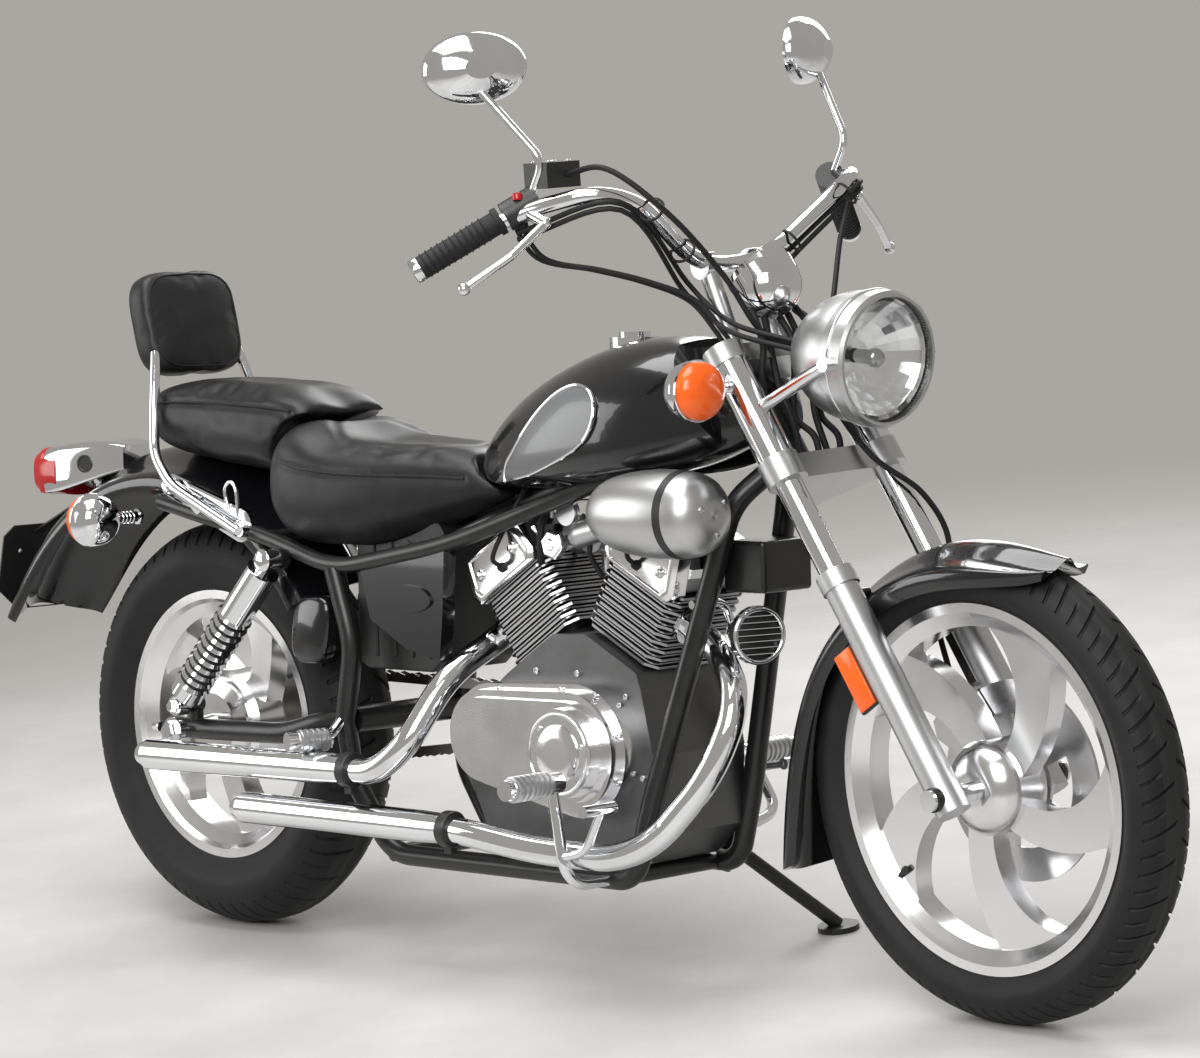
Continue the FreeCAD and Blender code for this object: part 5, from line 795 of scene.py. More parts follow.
# Tyres: the CAD tyre's section with rounded flanks and a cut tread
def tyre(end, radius, half, tread_half, shoulder, flank_radius, lip, bead, pitches, slant):
    """Closed rings of one section; the columns follow the slant of the grooves, so their walls are sharp."""
    rim_half, lip_radius = lip
    bead_width, bead_radius = bead
    shoulder_half, shoulder_radius = shoulder
    right = [Vector((rim_half - 3, bead_radius + 2, 0)), Vector((rim_half - 1, lip_radius + 2, 0)),
             Vector((half, flank_radius, 0)), Vector((shoulder_half, shoulder_radius, 0)),
             Vector((tread_half, radius - 0.6, 0))]
    corners = right + [Vector((0, radius, 0))] + [Vector((-p.x, p.y, 0)) for p in reversed(right)]
    outer = curve_points(corners, steps=7)
    inner_right = [Vector((rim_half - bead_width, bead_radius + 2, 0)), Vector((half - 12, flank_radius, 0)),
                   Vector((shoulder_half - 10, shoulder_radius - 12, 0)), Vector((0, radius - 16, 0))]
    inner = [Vector((-p.x, p.y, 0)) for p in inner_right[:-1]] + inner_right[::-1]
    section = outer + inner
    rows = len(section)
    depth, rib_share = 4.2, 0.45
    groove_from, groove_to = 0.10 * half, shoulder_half * 1.06
    steps = [(0.0, 0), (0.06, 1), (0.20, 1), (0.26, 0), (0.62, 0)]
    columns = pitches * len(steps)
    hub = FRONT_HUB if end == "front" else REAR_HUB
    verts, faces = [], []
    for pitch in range(pitches):
        for share, cut in steps:
            for row, point in enumerate(section):
                across, reach = point.x, point.y
                bend = slant * min(abs(across), groove_to) / half
                angle = 2 * math.pi * (pitch + share + bend) / pitches
                crown = row < len(outer) and reach > shoulder_radius - 6
                grooved = (pitch + (across > 0)) % 2 == 0 or abs(across) > rib_share * half
                if crown and grooved and groove_from < abs(across) < groove_to:
                    reach -= depth * cut
                verts.append(hub + Vector((reach * math.sin(angle), across, reach * math.cos(angle))))
    for column in range(columns):
        faces += ring_faces(rows, (column + 1) % columns, column)
    thing = piece(f"{end}_tyre_treaded", f"{end}_wheel", verts, faces, f"{end}_tread")
    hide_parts(f"{end}_tyre")


# Wheels' small parts
def wheel_parts():
    """The front axle's ends, the disc's screws and both valve stems."""
    for name, side in SIDES.items():
        end = FRONT_HUB + Vector((0, side * 117, 0))
        out = (0, side, 0)
        cap = Build().lathe(end, out, [(-6, 16), (2, 16), (5, 14.5), (5, 10)], 32)
        cap.make(f"front_axle_cover_{name}", "steering", "plate_black")
        nut = Build().bolt(end + Vector((0, side * 4, 0)), out, 7.5, 6)
        nut.make(f"front_axle_end_{name}", "steering", "steel")
    bolts = Build()
    for step in range(5):
        angle = math.radians(72 * step + 20)
        spot = FRONT_HUB + Vector((45 * math.sin(angle), 53, 45 * math.cos(angle)))
        bolts.cap_screw(spot, (0, 1, 0), 6, 5)
    bolts.make("brake_disc_screws", "front_wheel", "steel")
    for end, hub, lip, turn in (("front", FRONT_HUB, 226, -128), ("rear", REAR_HUB, 189, 60)):
        angle = math.radians(turn)
        out = Vector((math.sin(angle), 0, math.cos(angle)))
        seat = hub + out * lip + Vector((0, -12, 0))
        profile = [(-4, 6.5), (2, 6), (8, 4.2), (26, 3.6), (27, 4.4), (36, 4.4), (37, 3.6)]
        stem = Build().lathe(seat, -out + Vector((0, -0.25, 0)), profile, 16)
        stem.make(f"{end}_valve_stem", f"{end}_wheel", "plate_black", slot="grip_rubber")


# Lamps
def signals():
    """Round signals: a domed chrome back and an orange lens with fine rings."""
    back = [(-42, 4), (-41, 14), (-38, 24), (-32, 32), (-24, 37), (-13, 39.6), (-4, 40.2), (-3, 41),
            (0, 41), (0, 37)]
    lens = [(-1, 38), (6, 38.6), (7, 38), (10, 37.6), (11, 36.8), (14, 35.6), (15, 34.6), (18, 31.6),
            (19, 30.4), (22, 25), (23, 23.4), (25, 14), (25.6, 7), (25.8, 1)]
    for end, body, x, y, z, ahead, node in (
            ("front", "steering", 1163, 180, 830, 1, "front_turn_signals"),
            ("rear", "chassis", -139, 170, 623, -1, "rear_turn_signals")):
        for name, side in SIDES.items():
            centre = Vector((x, side * y, z))
            way = (ahead, 0, 0)
            cup = Build().lathe(centre, way, back, 48)
            root = Vector((x - 10 * ahead, side * (96 if end == "front" else 84), z))
            cup.lathe(root, (0, side, 0), [(0, 12), (4, 12), (6, 8.5), (12, 8), (y - 110 - 2, 8)], 20)
            for rib in range(4):
                spot = root + Vector((0, side * (12 + rib * 7), 0))
                cup.lathe(spot, (0, side, 0), [(0, 9.4), (3, 9.4)], 20)
            shell = cup.make(f"{end}_signal_{name}", body, "chrome")
            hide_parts(node)
            Build().lathe(centre, way, lens, 48).make(f"{end}_signal_lens_{name}", body, "orange")


LAMP_CENTRE, LAMP_DIP = Vector((1314, 0, 858)), math.radians(5)
LAMP_WAY = Vector((math.cos(LAMP_DIP), 0, -math.sin(LAMP_DIP)))


def headlamp():
    """A bowl of flat facets and a capped bulb behind the lens, and the rim's two beads."""
    bowl_radius, depth, wall = 79, 46, 2
    rings, facets = 6, 26
    profile = [(-depth * (1 - (step / rings) ** 2) + 6, 9 + (bowl_radius - 9) * step / rings)
               for step in range(rings + 1)]
    outside = [(along - wall, radius + wall) for along, radius in reversed(profile)]
    bowl = Build()
    bowl.lathe(LAMP_CENTRE, LAMP_WAY, profile + outside, facets, closed_ends=False)
    bowl.faces += ring_faces(facets, 0, len(profile + outside) - 1)
    bowl.make("headlamp_reflector", "steering", "mirror", smooth=False)
    shield = [(-36, 6), (-34, 9), (-16, 9), (-12, 12), (-6, 12), (-2, 9), (0, 2)]
    bulb = Build().lathe(LAMP_CENTRE, LAMP_WAY, shield, 24)
    bulb.make("headlamp_bulb_shield", "steering", "satin")
    rim = Build()
    rim.ring(LAMP_CENTRE + LAMP_WAY * 15, LAMP_WAY, 86, 3.6, 96, 12)
    rim.ring(LAMP_CENTRE - LAMP_WAY * 4, LAMP_WAY, 89.6, 1.8, 96, 10)
    rim.make("headlamp_rim", "steering", "chrome")


def reflectors():
    """An orange reflector in a black tray behind each fork leg."""
    up = STEER_UP
    behind = Vector((-math.cos(RAKE), 0, -math.sin(RAKE)))
    for name, side in SIDES.items():
        foot = FRONT_HUB + up * 195 + behind * 36
        centre = Vector((foot.x, side * 104, foot.z))
        axes = (behind, (0, side, 0), up)
        tray = Build().box(centre, axes, (36, 7, 87))
        tray.lathe(centre + Vector((0, -side * 3, 0)) - behind * 34, behind, [(0, 5), (24, 5)], 12)
        tray.make(f"reflector_tray_{name}", "steering", "plate_black", bevel=0.0018)
        face = Build().box(centre + Vector((0, side * 4.5, 0)), axes, (31, 5, 82))
        face.make(f"reflector_{name}", "steering", "orange", bevel=0.0014)


# Bar: cables, hose, switches and boots
BAR_CENTRE = Vector((1049, 0, 986))
RISER, BAR_HALF = 129, 400


def bar_spot(ahead, out, up):
    """A place about the bar's middle: shares of the riser's height, the half width and the riser's height."""
    return BAR_CENTRE + Vector((ahead * RISER, out * BAR_HALF, up * RISER))


def cables():
    """Looms and their ties, the throttle's two cables and boot, the lamp's wires and the clutch cable."""
    loom_shares = [(-0.06, 0.188, -0.155), (0.24, 0.170, -0.434), (0.628, 0.165, -0.628),
                   (1.20, 0.095, -0.80)]
    throttle_shares = [(-0.71, -0.735, 0.64), (-0.74, -0.62, 0.20), (-0.36, -0.48, 0.04),
                       (-0.06, -0.35, -0.12), (0.22, -0.235, -0.34), (0.42, -0.175, -0.70),
                       (0.52, -0.12, -1.05)]
    for name, side in SIDES.items():
        for number, step in enumerate((0, 9)):
            points = [BAR_CENTRE + Vector((-95, side * 292, 62 - step)),
                      BAR_CENTRE + Vector((31, side * 220, 93 - step))]
            points += [bar_spot(a, side * o, u) + Vector((0, side * step, -step)) for a, o, u in loom_shares]
            Build().run(points, 3.6, 12).make(f"loom_{name}_{number}", "steering", "rubber")
        ties = Build()
        for share in (0.25, 0.75):
            spot = BAR_CENTRE + Vector((39 * share * 1.6, side * (62 + (220 - 62) * share), 117 * share - 6))
            ties.ring(spot, (0.24, side * 0.66, 0.5), 17, 2.0, 32, 8)
        ties.make(f"cable_ties_{name}", "steering", "rubber")
    for number, step in enumerate((0, 14)):
        points = [bar_spot(*share) - Vector((step, 0, 0)) for share in throttle_shares]
        Build().run(points, 3.4, 12).make(f"throttle_cable_{number}", "steering", "rubber")
    boot = Build()
    start, onward = bar_spot(*throttle_shares[0]), bar_spot(*throttle_shares[1])
    boot.lathe(start, onward - start, [(0, 8), (6, 9), (9, 7.5), (14, 8.6), (18, 7), (30, 5.4)], 20)
    boot.make("throttle_boot", "steering", "rubber")
    bundle = Build()
    for number, (y, swing) in enumerate(((-34, 6), (-14, -8), (6, 10), (26, -4), (44, 8))):
        bundle.run([(1120, y, 925), (1142 + swing, y * 1.3, 880), (1150, y * 1.5, 830 + swing),
                    (1158 - swing, y * 1.2, 780), (1180 + number * 3, y, 730 + swing * 2),
                    (1196, y * 0.7, 690)], 4.6, 10)
    bundle.make("wiring_bundle", "steering", "rubber")
    clutch = [(1020, 232, 1096), (1075, 205, 1070), (1108, 150, 1005),
              (1138, 104, 940), (1152, 72, 870), (1146, 58, 800)]
    Build().run(clutch, 3.8, 12).make("clutch_cable", "steering", "rubber")


def brake_hose():
    """From the reservoir to the caliper, as shares of the fork's height and its half width from the hub."""
    fork_top, legs = 678, 92
    shares = [(-0.7153, -2.663, 1.199), (-0.605, -2.554, 1.2065), (-0.5236, -1.957, 1.1106),
              (-0.516, -1.033, 0.985), (-0.500, -0.42, 0.865), (-0.468, 0.35, 0.820), (-0.444, 0.48, 0.720),
              (-0.354, 0.55, 0.615), (-0.298, 1.12, 0.535), (-0.286, 1.52, 0.430), (-0.262, 1.0, 0.310),
              (-0.212, 0.80, 0.200), (-0.160, 0.66, 0.125)]
    points = [FRONT_HUB + Vector((a * fork_top, o * legs, u * fork_top)) for a, o, u in shares]
    Build().run(points, 4, 12).make("brake_hose", "steering", "rubber")


def bar_parts():
    """The switch housings' buttons, the reservoir's cap screws and the grips' ribs and ends."""
    meet = skin("bar_controls")
    knobs = [("kill_switch", RIGHT, (968, 300, 1140), (968, 300, 1060), "red", 7),
             ("starter_button", RIGHT, (900, 318, 1072), (968, 304, 1072), "switch", 6),
             ("horn_button", LEFT, (880, 318, 1060), (968, 300, 1066), "red", 6),
             ("signal_switch", LEFT, (968, 306, 1140), (968, 300, 1060), "switch", 7)]
    for name, side, start, goal, look, radius in knobs:
        found = meet(mirror(start, side), mirror(goal, side), "steering")
        if found:
            place, _ = found
            way = mirror(start, side) - mirror(goal, side)
            profile = [(0, radius), (6, radius), (9, radius * 0.8), (10, 1)]
            knob = Build().lathe(place - way.normalized() * 3, way, profile, 24)
            knob.make(name, "steering", look, slot="switch_plastic")
    screws = Build()
    for x in (970, 1000):
        for y in (-236, -270):
            found = meet((x, y, 1180), (x, y, 1090), "steering")
            if found:
                screws.cap_screw(found[0] - Vector((0, 0, 1)), (0, 0, 1), 3.6, 3.2)
    screws.make("reservoir_screws", "steering", "chrome")
    for name, side in SIDES.items():
        inner = BAR_CENTRE + Vector((-97.5, side * 300, 87))
        outer = BAR_CENTRE + Vector((-172, side * 400, 23))
        way = (outer - inner).normalized()
        ribs = Build()
        for step in range(11):
            ribs.ring(outer - way * (10 + step * 9), way, 16.2, 1.4, 36, 8)
        ribs.make(f"grip_ribs_{name}", "steering", "rubber")
        end = Build().lathe(outer, way, [(-2, 17.4), (4, 17.4), (9, 16), (10, 13), (10, 5)], 32)
        end.make(f"grip_end_{name}", "steering", "chrome")


def dial():
    """A black dial with plain ticks and a red hand, facing the rider."""
    turn = math.radians(48)
    way = Vector((-math.sin(turn), 0, math.cos(turn)))
    centre = Vector((1108, 0, 969)) + way * 3
    ahead = Vector((math.cos(turn), 0, math.sin(turn)))
    face = Build().lathe(centre, way, [(0, 42), (1.2, 42)], 48)
    face.make("dial_face", "steering", "plate_black", slot="switch_plastic")
    ticks = Build()
    for step in range(25):
        angle = math.radians(-120 + step * 10)
        out = ahead * math.cos(angle) + Vector((0, 1, 0)) * math.sin(angle)
        size = 7 if step % 4 == 0 else 4
        ticks.box(centre + way * 1.5 + out * (38 - size / 2), (out, way.cross(out), way), (size, 1.1, 0.7))
    ticks.make("dial_ticks", "steering", "white", smooth=False)
    hand = Build()
    out = ahead * math.cos(math.radians(-118)) + Vector((0, 1, 0)) * math.sin(math.radians(-118))
    hand.box(centre + way * 2.4 + out * 14, (out, way.cross(out), way), (32, 1.6, 0.8))
    hand.lathe(centre + way * 1, way, [(0, 4.5), (2.5, 4.5), (3.2, 3)], 20)
    hand.make("dial_hand", "steering", "red", smooth=False)


# Engine
CRANK = Vector((810, 0, 338))


def bank_axes(bank):
    """A cylinder bank's way up and its way ahead."""
    angle = math.radians(BANKS[bank])
    return Vector((math.sin(angle), 0, math.cos(angle))), Vector((math.cos(angle), 0, -math.sin(angle)))


def clutch_cover_parts():
    """Screws round the clutch cover's ledge, and its round cap's ring, dome and screws."""
    joint_face, depth, ledge_share = -92, 58, 0.55
    ledge = joint_face - depth * ledge_share
    near, far = Vector((845, ledge, 325)), Vector((676, ledge, 338))
    screws = Build()
    line = (far - near).normalized()
    for centre, radius, first, last, count in ((near, 87.4, -112, 112, 6), (far, 68.4, 76, 284, 4)):
        for step in range(count):
            angle = math.radians(first + (last - first) * step / (count - 1))
            out = -line * math.cos(angle) + Vector((line.z, 0, -line.x)) * math.sin(angle)
            screws.cap_screw(centre + out * radius, (0, -1, 0), 4.2, 4)
    screws.make("clutch_cover_screws", "chassis", "steel")
    cap_face = Vector((845, joint_face - depth - 12, 325))
    cap = Build()
    cap.ring(cap_face, (0, 1, 0), 55, 2.2, 64, 10)
    cap.lathe(cap_face + Vector((0, 1, 0)), (0, -1, 0), [(0, 40), (3, 40), (5, 36), (5.4, 20), (5.4, 2)], 48)
    cap.make("clutch_cap_dome", "chassis", "alloy")
    pins = Build()
    for step in range(3):
        angle = math.radians(120 * step + 15)
        spot = cap_face + Vector((47 * math.cos(angle), 0.5, 47 * math.sin(angle)))
        pins.cap_screw(spot, (0, -1, 0), 4, 3.4)
    pins.make("clutch_cap_screws", "chassis", "steel")


def engine_screws():
    """Screws where rays meet the crankcase and the head covers."""
    case = skin("crankcase")
    screws = Build()
    for x, z in ((912, 400), (930, 330), (905, 262), (850, 222), (760, 232), (690, 244), (610, 300),
                 (600, 372), (650, 420), (740, 428), (820, 428), (940, 290), (560, 330)):
        for side in (RIGHT, LEFT):
            found = case(Vector((x, side * 300, z)), Vector((x, 0, z)))
            if found and abs(found[1].y) > 0.7:
                screws.cap_screw(found[0] - Vector((0, side * 1, 0)), (0, side, 0), 4.6, 5)
    screws.make("crankcase_screws", "chassis", "steel")
    heads = skin("cylinder_head_covers")
    nuts = Build()
    for bank in BANKS:
        up, along = bank_axes(bank)
        for a in (-46, 0, 46):
            for b in (-52, 52):
                start = CRANK + up * 420 + along * a + Vector((0, b, 0))
                found = heads(start, start - up * 200)
                if found:
                    nuts.bolt(found[0] - up * 1, up, 6, 7)
    nuts.make("head_cover_nuts", "chassis", "chrome")


def spark_caps():
    """Black plug caps on the right of both heads, with their leads up under the tank."""
    meet = skin("cylinders", "cylinder_head_covers")
    caps, leads = Build(), Build()
    for bank, sway in (("front", 20), ("rear", -20)):
        up, _ = bank_axes(bank)
        seat = CRANK + up * 262
        place, _ = meet(seat + Vector((0, -200, 0)), seat)
        way = Vector((0, -0.9, 0.45)).normalized()
        caps.lathe(place + way * -4, way, [(0, 9), (16, 9), (18, 7), (30, 6.5), (32, 5)], 18)
        tip = place + way * 28
        leads.run([tip, tip + way * 14 + Vector((0, 0, 8)), (tip.x - sway * 0.6, tip.y + 6, tip.z + 60),
                   (tip.x - sway, -36, 700)], 3.4, 10)
    caps.make("spark_plug_caps", "chassis", "rubber")
    leads.make("spark_plug_leads", "chassis", "rubber")


def between_cylinders():
    """A hexagonal chrome cover, a pulley with its rods and two breather hoses between the barrels."""
    hexagon = [(0, 22), (10, 22), (13, 18), (13, 9), (16, 8), (16, 1)]
    cover = Build().lathe((772, -78, 604), (0, -1, 0), hexagon, 6)
    cover.make("intake_cover", "chassis", "chrome", smooth=False, bevel=0.0012)
    link = Build()
    pulley = [(0, 18), (3, 18), (4, 15), (7, 15), (8, 18), (11, 18), (11, 5)]
    link.lathe((790, -66, 648), (0, -1, 0), pulley, 32)
    link.run([(790, -74, 648), (812, -74, 664), (842, -72, 666)], 2.2, 8)
    link.run([(752, -66, 640), (760, -70, 662), (786, -70, 672)], 2.2, 8)
    link.make("throttle_linkage", "chassis", "steel")
    hose = Build()
    hose.run([(724, -60, 560), (738, -76, 600), (742, -70, 640), (762, -40, 676)], 5, 12)
    hose.run([(842, -60, 560), (836, -78, 596), (850, -70, 632), (880, -50, 668)], 4, 12)
    hose.make("breather_hoses", "chassis", "rubber")


def air_cleaner_parts():
    """A black band near the bullet's front, painted shade for the step where its rear meets its front cap,
    and its screws; the bright bands' rings fall together unseen.
    """
    centre = Vector((1022, -142, 656))
    meet = skin("air_cleaner")

    def radius_at(ahead):
        top = centre + Vector((ahead, 0, 0))
        return meet(top + Vector((0, -200, 0)), top)[0].y

    band, slot = Build(), Build()
    for ahead in (44, 72):
        band.ring(centre + Vector((ahead, 0, 0)), (1, 0, 0), centre.y - radius_at(ahead), 1.6, 72, 8)
    band.make("air_cleaner_bands", "chassis", "chrome")
    # The black ring between the bright bands is painted shade: it stands in for the shade at the step where
    # the bullet's rear meets its front cap.
    near, far = centre.y - radius_at(52), centre.y - radius_at(64)
    slot.lathe(centre, (1, 0, 0), [(52, near - 3), (52, near + 0.7), (64, far + 0.7), (64, far - 3)], 72)
    slot.make("air_cleaner_painted_shade_band", "chassis", "plate_black")
    screws = Build()
    for step in range(3):
        angle = math.radians(120 * step + 40)
        out = Vector((0, math.cos(angle), math.sin(angle)))
        start = centre + Vector((200, 0, 0)) + out * 26
        found = meet(start, start - Vector((200, 0, 0)))
        if found:
            screws.cap_screw(found[0] - found[1], found[1], 4.5, 4)
    screws.make("air_cleaner_screws", "chassis", "steel")


def fine_fins():
    """A thinner fin in the middle of each gap between the CAD fins."""
    meet = skin("cylinders")
    half_long, half_wide, corner, thickness = 69, 71, 12, 2.2
    lowest, pitch, count = 134, 0.5, 260
    outline = []
    for a, b, first in ((1, 1, 0), (-1, 1, 90), (-1, -1, 180), (1, -1, 270)):
        for part in range(5):
            angle = math.radians(first + part * 22.5)
            outline.append((a * (half_long - corner) + corner * math.cos(angle),
                            b * (half_wide - corner) + corner * math.sin(angle)))
    fins = Build()
    for bank in BANKS:
        up, along = bank_axes(bank)
        edges = []
        solid = False
        for step in range(count):
            rise = lowest + step * pitch
            spot = CRANK + up * rise - along * 40
            found = meet(spot + Vector((0, -120, 0)), spot + Vector((0, -66, 0)))
            if bool(found) != solid:
                solid = bool(found)
                edges.append(rise)
        for low, high in zip(edges[1::2], edges[2::2]):
            if high - low > 3 * thickness:
                middle = CRANK + up * ((low + high) / 2)
                fins.loft([[middle + along * x + Vector((0, y, 0)) + up * h for x, y in outline]
                           for h in (-thickness / 2, thickness / 2)])
    fins.make("fine_fins", "chassis", "fins", smooth=False)


def head_sides():
    """Angular polished covers on the sides of both heads, each with two nuts."""
    corners = [(-64, 250), (64, 250), (72, 264), (60, 316), (-60, 316), (-72, 264)]
    rows = ((58, 1.0), (82, 1.0), (87, 0.90), (87, 0.80), (84.5, 0.76))
    middle = 283
    for bank in BANKS:
        up, along = bank_axes(bank)
        for hand, side in SIDES.items():
            cover = Build().loft([
                [CRANK + along * (a * share) + up * (middle + (s - middle) * share) + Vector((0, side * y, 0))
                 for a, s in corners] for y, share in rows])
            for a in (-38, 38):
                cover.bolt(CRANK + along * a + up * middle + Vector((0, side * 84, 0)), (0, side, 0), 6.5, 6)
            cover.make(f"{bank}_head_side_{hand}", "chassis", "alloy", bevel=0.0015)


def battery_box():
    """A black ribbed box under the seat, between the side covers."""
    corners = [(352, 424), (372, 412), (508, 412), (528, 428), (540, 612), (528, 628), (372, 636), (356, 620)]
    box = Build().loft([[Vector((x, y, z)) for x, z in corners] for y in (-74, 74)])
    for side in (RIGHT, LEFT):
        for step in range(4):
            box.box((392 + step * 38, side * 74, 516), ((1, 0, 0), (0, 1, 0), (0, 0, 1)), (8, 6, 170))
    box.make("battery_box", "chassis", "plate_black", smooth=False, bevel=0.003)


def tail_parts():
    """The red lens round the lamp's end, dark recesses in the housing's sides and a small red reflector."""
    centre = Vector((-380, 0, 686))
    outline = []
    for step in range(48):
        angle = 2 * math.pi * step / 48
        reach = 1 / squareness(angle, 3.4)
        outline.append((math.cos(angle) * reach * 68, math.sin(angle) * reach * 37))
    rows = ((30, 0.985), (30, 1.03), (-18, 1.035), (-25, 1.0), (-27, 0.93), (-27.5, 0.4))
    lens = Build().loft([[centre + Vector((ahead, y * share, z * share)) for y, z in outline]
                         for ahead, share in rows])
    for z in (-18, 0, 18):
        rib = [centre + Vector((x, y, z)) for x, y in ((-27, -58), (-27.5, 0), (-27, 58))]
        lens.run(rib, 1.2, 6)
    lens.make("tail_lens_shell", "chassis", "red")
    meet = skin("tail_lamp")
    for name, side in SIDES.items():
        found = meet((-290, side * 200, 700), (-290, 0, 700))
        if found:
            place, normal = found
            profile = [(0, 14), (3.4, 14), (3.4, 11), (2.4, 10), (2.4, 1)]
            recess = Build().lathe(place - normal * 2, normal, profile, 32)
            recess.make(f"tail_recess_{name}", "chassis", "plate_black")
    small = Build().box((-216, -72, 655), ((0.2, -1, 0), (1, 0.2, 0), (0, 0, 1)), (6, 26, 16))
    small.make("side_reflector", "chassis", "red", bevel=0.0012)


# Exhausts
def exhaust_parts():
    """A clamp at each silencer's front and a dark baffle in its end."""
    clamps, outlets = Build(), Build()
    for front, back, y, z_front, z_back in ((453, 7, -190, 281, 276), (656, 221, -190, 211, 211)):
        start, end = Vector((front, y, z_front)), Vector((back, y, z_back))
        way = (end - start).normalized()
        clamps.lathe(start - way * 10, way, [(0, 24.4), (2, 26), (16, 26), (18, 24.4)], 40)
        clamps.box(start + Vector((0, 0, -28)), (way, (0, 1, 0), (0, 0, 1)), (14, 12, 12))
        outlets.lathe(end - way * 60, way, [(0, 15), (59, 15), (59, 12), (2, 12)], 32)
    clamps.make("exhaust_clamps", "chassis", "plate_black")
    outlets.make("exhaust_baffles", "chassis", "plate_black")


# Rear end
def fender_struts():
    """Broad chrome struts with rounded ends along the rear fender, and a small grab loop on each."""
    for name, side in SIDES.items():
        a, b = Vector((-30, side * 101, 674)), Vector((140, side * 106, 617))
        way = (b - a).normalized()
        tall = Vector((0, side, 0)).cross(way) * side
        outline = []
        for end, centre, radius in ((-1, a, 17), (1, b, 25)):
            for step in range(9):
                angle = math.radians(-90 + 180 * step / 8)
                ahead = centre + way * end * math.cos(angle) * radius
                outline.append(ahead + tall * math.sin(angle) * radius * end)
        out = Vector((0, side * 4, 0))
        crown = [p * 0.82 + (a + b) / 2 * 0.18 + out * 1.9 for p in outline]
        strut = Build().loft([[p - out for p in outline], [p + out for p in outline], crown])
        strut.bolt(b + out * 1.6, (0, side, 0), 8, 6)
        strut.bolt(a + out * 1.6, (0, side, 0), 7, 6)
        strut.make(f"fender_strut_{name}", "chassis", "chrome")
        loop = Build()
        loop.run([(118, side * 112, 640), (112, side * 114, 668), (124, side * 114, 682),
                  (137, side * 114, 670), (138, side * 112, 630)], 3, 10)
        loop.make(f"helmet_hook_{name}", "chassis", "chrome")


def shock_parts():
    """Round top caps and lower eyes' bolts of the rear shocks."""
    for name, side in SIDES.items():
        top, low = Vector((238, side * 140, 571)), Vector((20, side * 140, 345))
        parts = Build()
        parts.lathe(top - Vector((0, -side * 8, 0)), (0, side, 0), [(0, 17), (8, 17), (12, 13), (13, 5)], 32)
        parts.bolt(low + Vector((0, side * 12, 0)), (0, side, 0), 9, 9)
        parts.make(f"shock_bolts_{name}", "chassis", "chrome")


def swingarm_parts():
    """The rear axle's nuts and the chain adjusters' bolts."""
    for name, side in SIDES.items():
        parts = Build()
        parts.bolt(Vector((0, side * 138, 306)), (0, side, 0), 15, 14)
        parts.bolt(Vector((-52, side * 118, 306)), (-1, 0, 0), 6, 18)
        parts.make(f"rear_axle_nut_{name}", "chassis", "chrome")


def tank_panel_rims():
    """A chrome wire round each tank panel, where rays from the side find its edge."""
    meet = skin("tank_panels")
    for name, side in SIDES.items():
        seen = [v.co for v in NODES["tank_panels"].data.vertices]
        back = CHASSIS.inverted()
        mine = [p for p in (back @ v for v in seen) if p.y * side > 0]
        middle = sum(mine, Vector()) / len(mine)
        line = []
        for step in range(48):
            angle = 2 * math.pi * step / 48
            out = Vector((math.cos(angle), 0, math.sin(angle)))
            low, high = 0.0, 260.0
            for _ in range(14):
                half = (low + high) / 2
                spot = middle + out * half
                if meet(Vector((spot.x, side * 400, spot.z)), Vector((spot.x, 0, spot.z))):
                    low = half
                else:
                    high = half
            spot = middle + out * max(low - 1.6, 1)
            place, normal = meet(Vector((spot.x, side * 400, spot.z)), Vector((spot.x, 0, spot.z)))
            line.append(place + normal * 0.6)
        Build().run(line, 2.4, 8, True, True).make(f"tank_panel_rim_{name}", "chassis", "chrome")


def horn_grille():
    """The horn's slotted black face in its chrome rim."""
    centre, way = Vector((1102, -35, 488)), Vector((1, -0.35, 0)).normalized()
    face = Build().lathe(centre + way * 2, way, [(0, 33), (3, 33), (5, 30), (6, 4)], 40)
    face.make("horn_face", "chassis", "plate_black")
    bars = Build()
    across = Vector((0, 0, 1)).cross(way).normalized()
    for step in range(-3, 4):
        reach = math.sqrt(33 ** 2 - (step * 8.5) ** 2)
        middle = centre + way * 9 + Vector((0, 0, step * 8.5))
        bars.run([middle - across * reach, middle + across * reach], 1.5, 8, False)
    bars.ring(centre + way * 10, way, 36, 2.6, 56, 10)
    bars.make("horn_bars", "chassis", "chrome")


def second_covers():
    """The smaller rounded covers behind the side covers."""
    outline = []
    for step in range(40):
        angle = 2 * math.pi * step / 40
        reach = 1 / squareness(angle, 3.2)
        outline.append((math.cos(angle) * reach, math.sin(angle) * reach))
    rows = ((100, 1.0), (116, 1.0), (121, 0.93), (124, 0.8))
    for name, side in SIDES.items():
        rings = []
        for y, share in rows:
            rings.append([Vector((298 + x * 40 * share + z * 8 * share, side * y, 469 + z * 50 * share))
                          for x, z in outline])
        Build().loft(rings).make(f"small_side_cover_{name}", "chassis", "black_paint")


def pegs():
    """Ribbed sleeves on the pegs, with their ends showing."""
    for name, side in SIDES.items():
        sleeves = Build()
        back_way = Vector((-22.5, side * 63, 0))
        for start, way, count, pitch, high, low, length in (
                ((868.7, side * 205, 290), (0, side, 0), 7, 10, 18, 15.5, 5),
                ((378.7, side * 164, 318), back_way, 5, 9, 17, 15.2, 4)):
            profile = [(0, 14.5)]
            for step in range(count):
                at = 3 + step * pitch
                profile += [(at, high), (at + length, high), (at + length + 1, low), (at + pitch - 1, low)]
            sleeves.lathe(start, way, profile, 28)
        sleeves.make(f"peg_sleeves_{name}", "chassis", "satin")


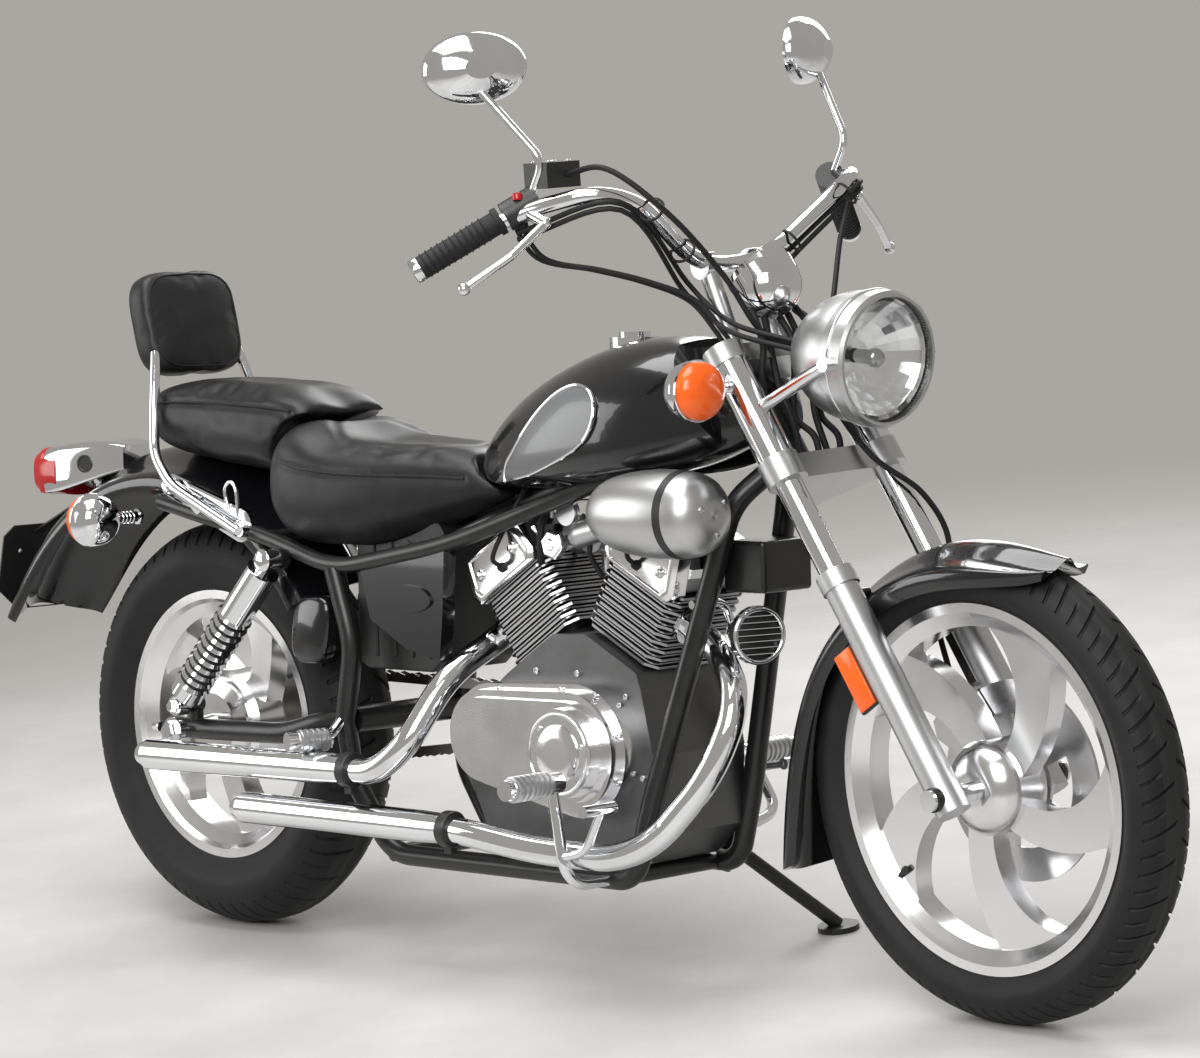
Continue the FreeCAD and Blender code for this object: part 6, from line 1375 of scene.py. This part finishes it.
tyre("front", 307, 46, 14, (38, 290), 265, (33, 241.5), (11, 229), 78, 1.3)
tyre("rear", 306, 65, 20, (53, 283), 246, (46, 205), (13, 192), 64, 1.1)
wheel_parts()
signals()
headlamp()
reflectors()
cables()
brake_hose()
bar_parts()
dial()
clutch_cover_parts()
engine_screws()
spark_caps()
between_cylinders()
air_cleaner_parts()
exhaust_parts()
fender_struts()
shock_parts()
swingarm_parts()
tank_panel_rims()
horn_grille()
second_covers()
pegs()
fine_fins()
head_sides()
battery_box()
tail_parts()


# Floor, backdrop, light
def pale_floor():
    """A large pale floor that fades into the backdrop away from the bike."""
    floor = bpy.data.meshes.new("floor")
    reach, middle, fade_from, fade_to = 6.0, (0.25, 0.1), 1.3, 4.4
    floor.from_pydata([(-reach, -reach, 0), (reach, -reach, 0), (reach, reach, 0), (-reach, reach, 0)], [],
                      [[0, 1, 2, 3]])
    s = Shader("floor")
    veins = s.math("ADD", s.noise(2.2, 6, roughness=0.62), s.math("MULTIPLY", s.noise(0.7, 2), 0.5))
    tone = s.ramp(veins, (0.55, (0.44, 0.43, 0.415)), (0.95, (0.56, 0.55, 0.535)))
    s.finish(Base_Color=tone, Roughness=0.55)
    local = s.vector("SUBTRACT", s.place(), (*middle, 0))
    fade = s.add("ShaderNodeMapRange", interpolation_type="SMOOTHERSTEP")
    s.feed(fade, Value=s.vector("LENGTH", local))
    fade.inputs["From Min"].default_value = fade_from
    fade.inputs["From Max"].default_value = fade_to
    clear = s.add("ShaderNodeBsdfTransparent")
    blend = s.add("ShaderNodeMixShader")
    s.feed(blend, i0=fade.outputs["Result"], i1=s.surface.outputs[0], i2=clear.outputs[0])
    s.links.new(blend.outputs[0], s.out.inputs["Surface"])
    floor.materials.append(s.material)
    ground = bpy.data.objects.new("floor", floor)
    bpy.context.scene.collection.objects.link(ground)


def backdrop():
    """Soft sky light, with a plain grey that the camera, glass and gloss see instead."""
    world = bpy.data.worlds.new("studio")
    bpy.context.scene.world = world
    world.use_nodes = True
    nodes, links = world.node_tree.nodes, world.node_tree.links
    sky = nodes["Background"]
    sky.inputs["Color"].default_value = (0.80, 0.80, 0.80, 1)
    sky.inputs["Strength"].default_value = 0.42
    seen = nodes.new("ShaderNodeBackground")
    seen.inputs["Color"].default_value = (0.40, 0.385, 0.36, 1)
    seen.inputs["Strength"].default_value = 1.0
    path = nodes.new("ShaderNodeLightPath")
    share = path.outputs["Is Camera Ray"]
    for other in ("Is Transmission Ray", "Is Glossy Ray"):
        either = nodes.new("ShaderNodeMath")
        either.operation = "MAXIMUM"
        links.new(share, either.inputs[0])
        links.new(path.outputs[other], either.inputs[1])
        share = either.outputs[0]
    choose = nodes.new("ShaderNodeMixShader")
    links.new(share, choose.inputs[0])
    links.new(sky.outputs[0], choose.inputs[1])
    links.new(seen.outputs[0], choose.inputs[2])
    links.new(choose.outputs[0], nodes["World Output"].inputs["Surface"])


def lamp(name, place, goal, size, power, tall=None):
    """A soft square or oblong lamp that points at its goal."""
    data = bpy.data.lights.new(name, "AREA")
    data.shape = "RECTANGLE"
    data.size = size
    data.size_y = tall or size
    data.energy = power
    thing = bpy.data.objects.new(name, data)
    thing.location = place
    thing.rotation_euler = (Vector(goal) - Vector(place)).to_track_quat("-Z", "Y").to_euler()
    bpy.context.scene.collection.objects.link(thing)


pale_floor()
backdrop()
lamp("key", (2.2, -3.6, 3.2), (0.1, 0, 0.5), 2.6, 160)
lamp("top", (-0.4, -0.6, 4.2), (0, 0, 0.5), 3.6, 150, 2.2)
lamp("fill", (-3.6, -2.6, 1.8), (-0.2, 0, 0.5), 2.4, 60)
lamp("rim", (-1.6, 3.6, 2.6), (0, 0, 0.6), 2.4, 90)
bpy.context.scene.view_settings.view_transform = "Standard"
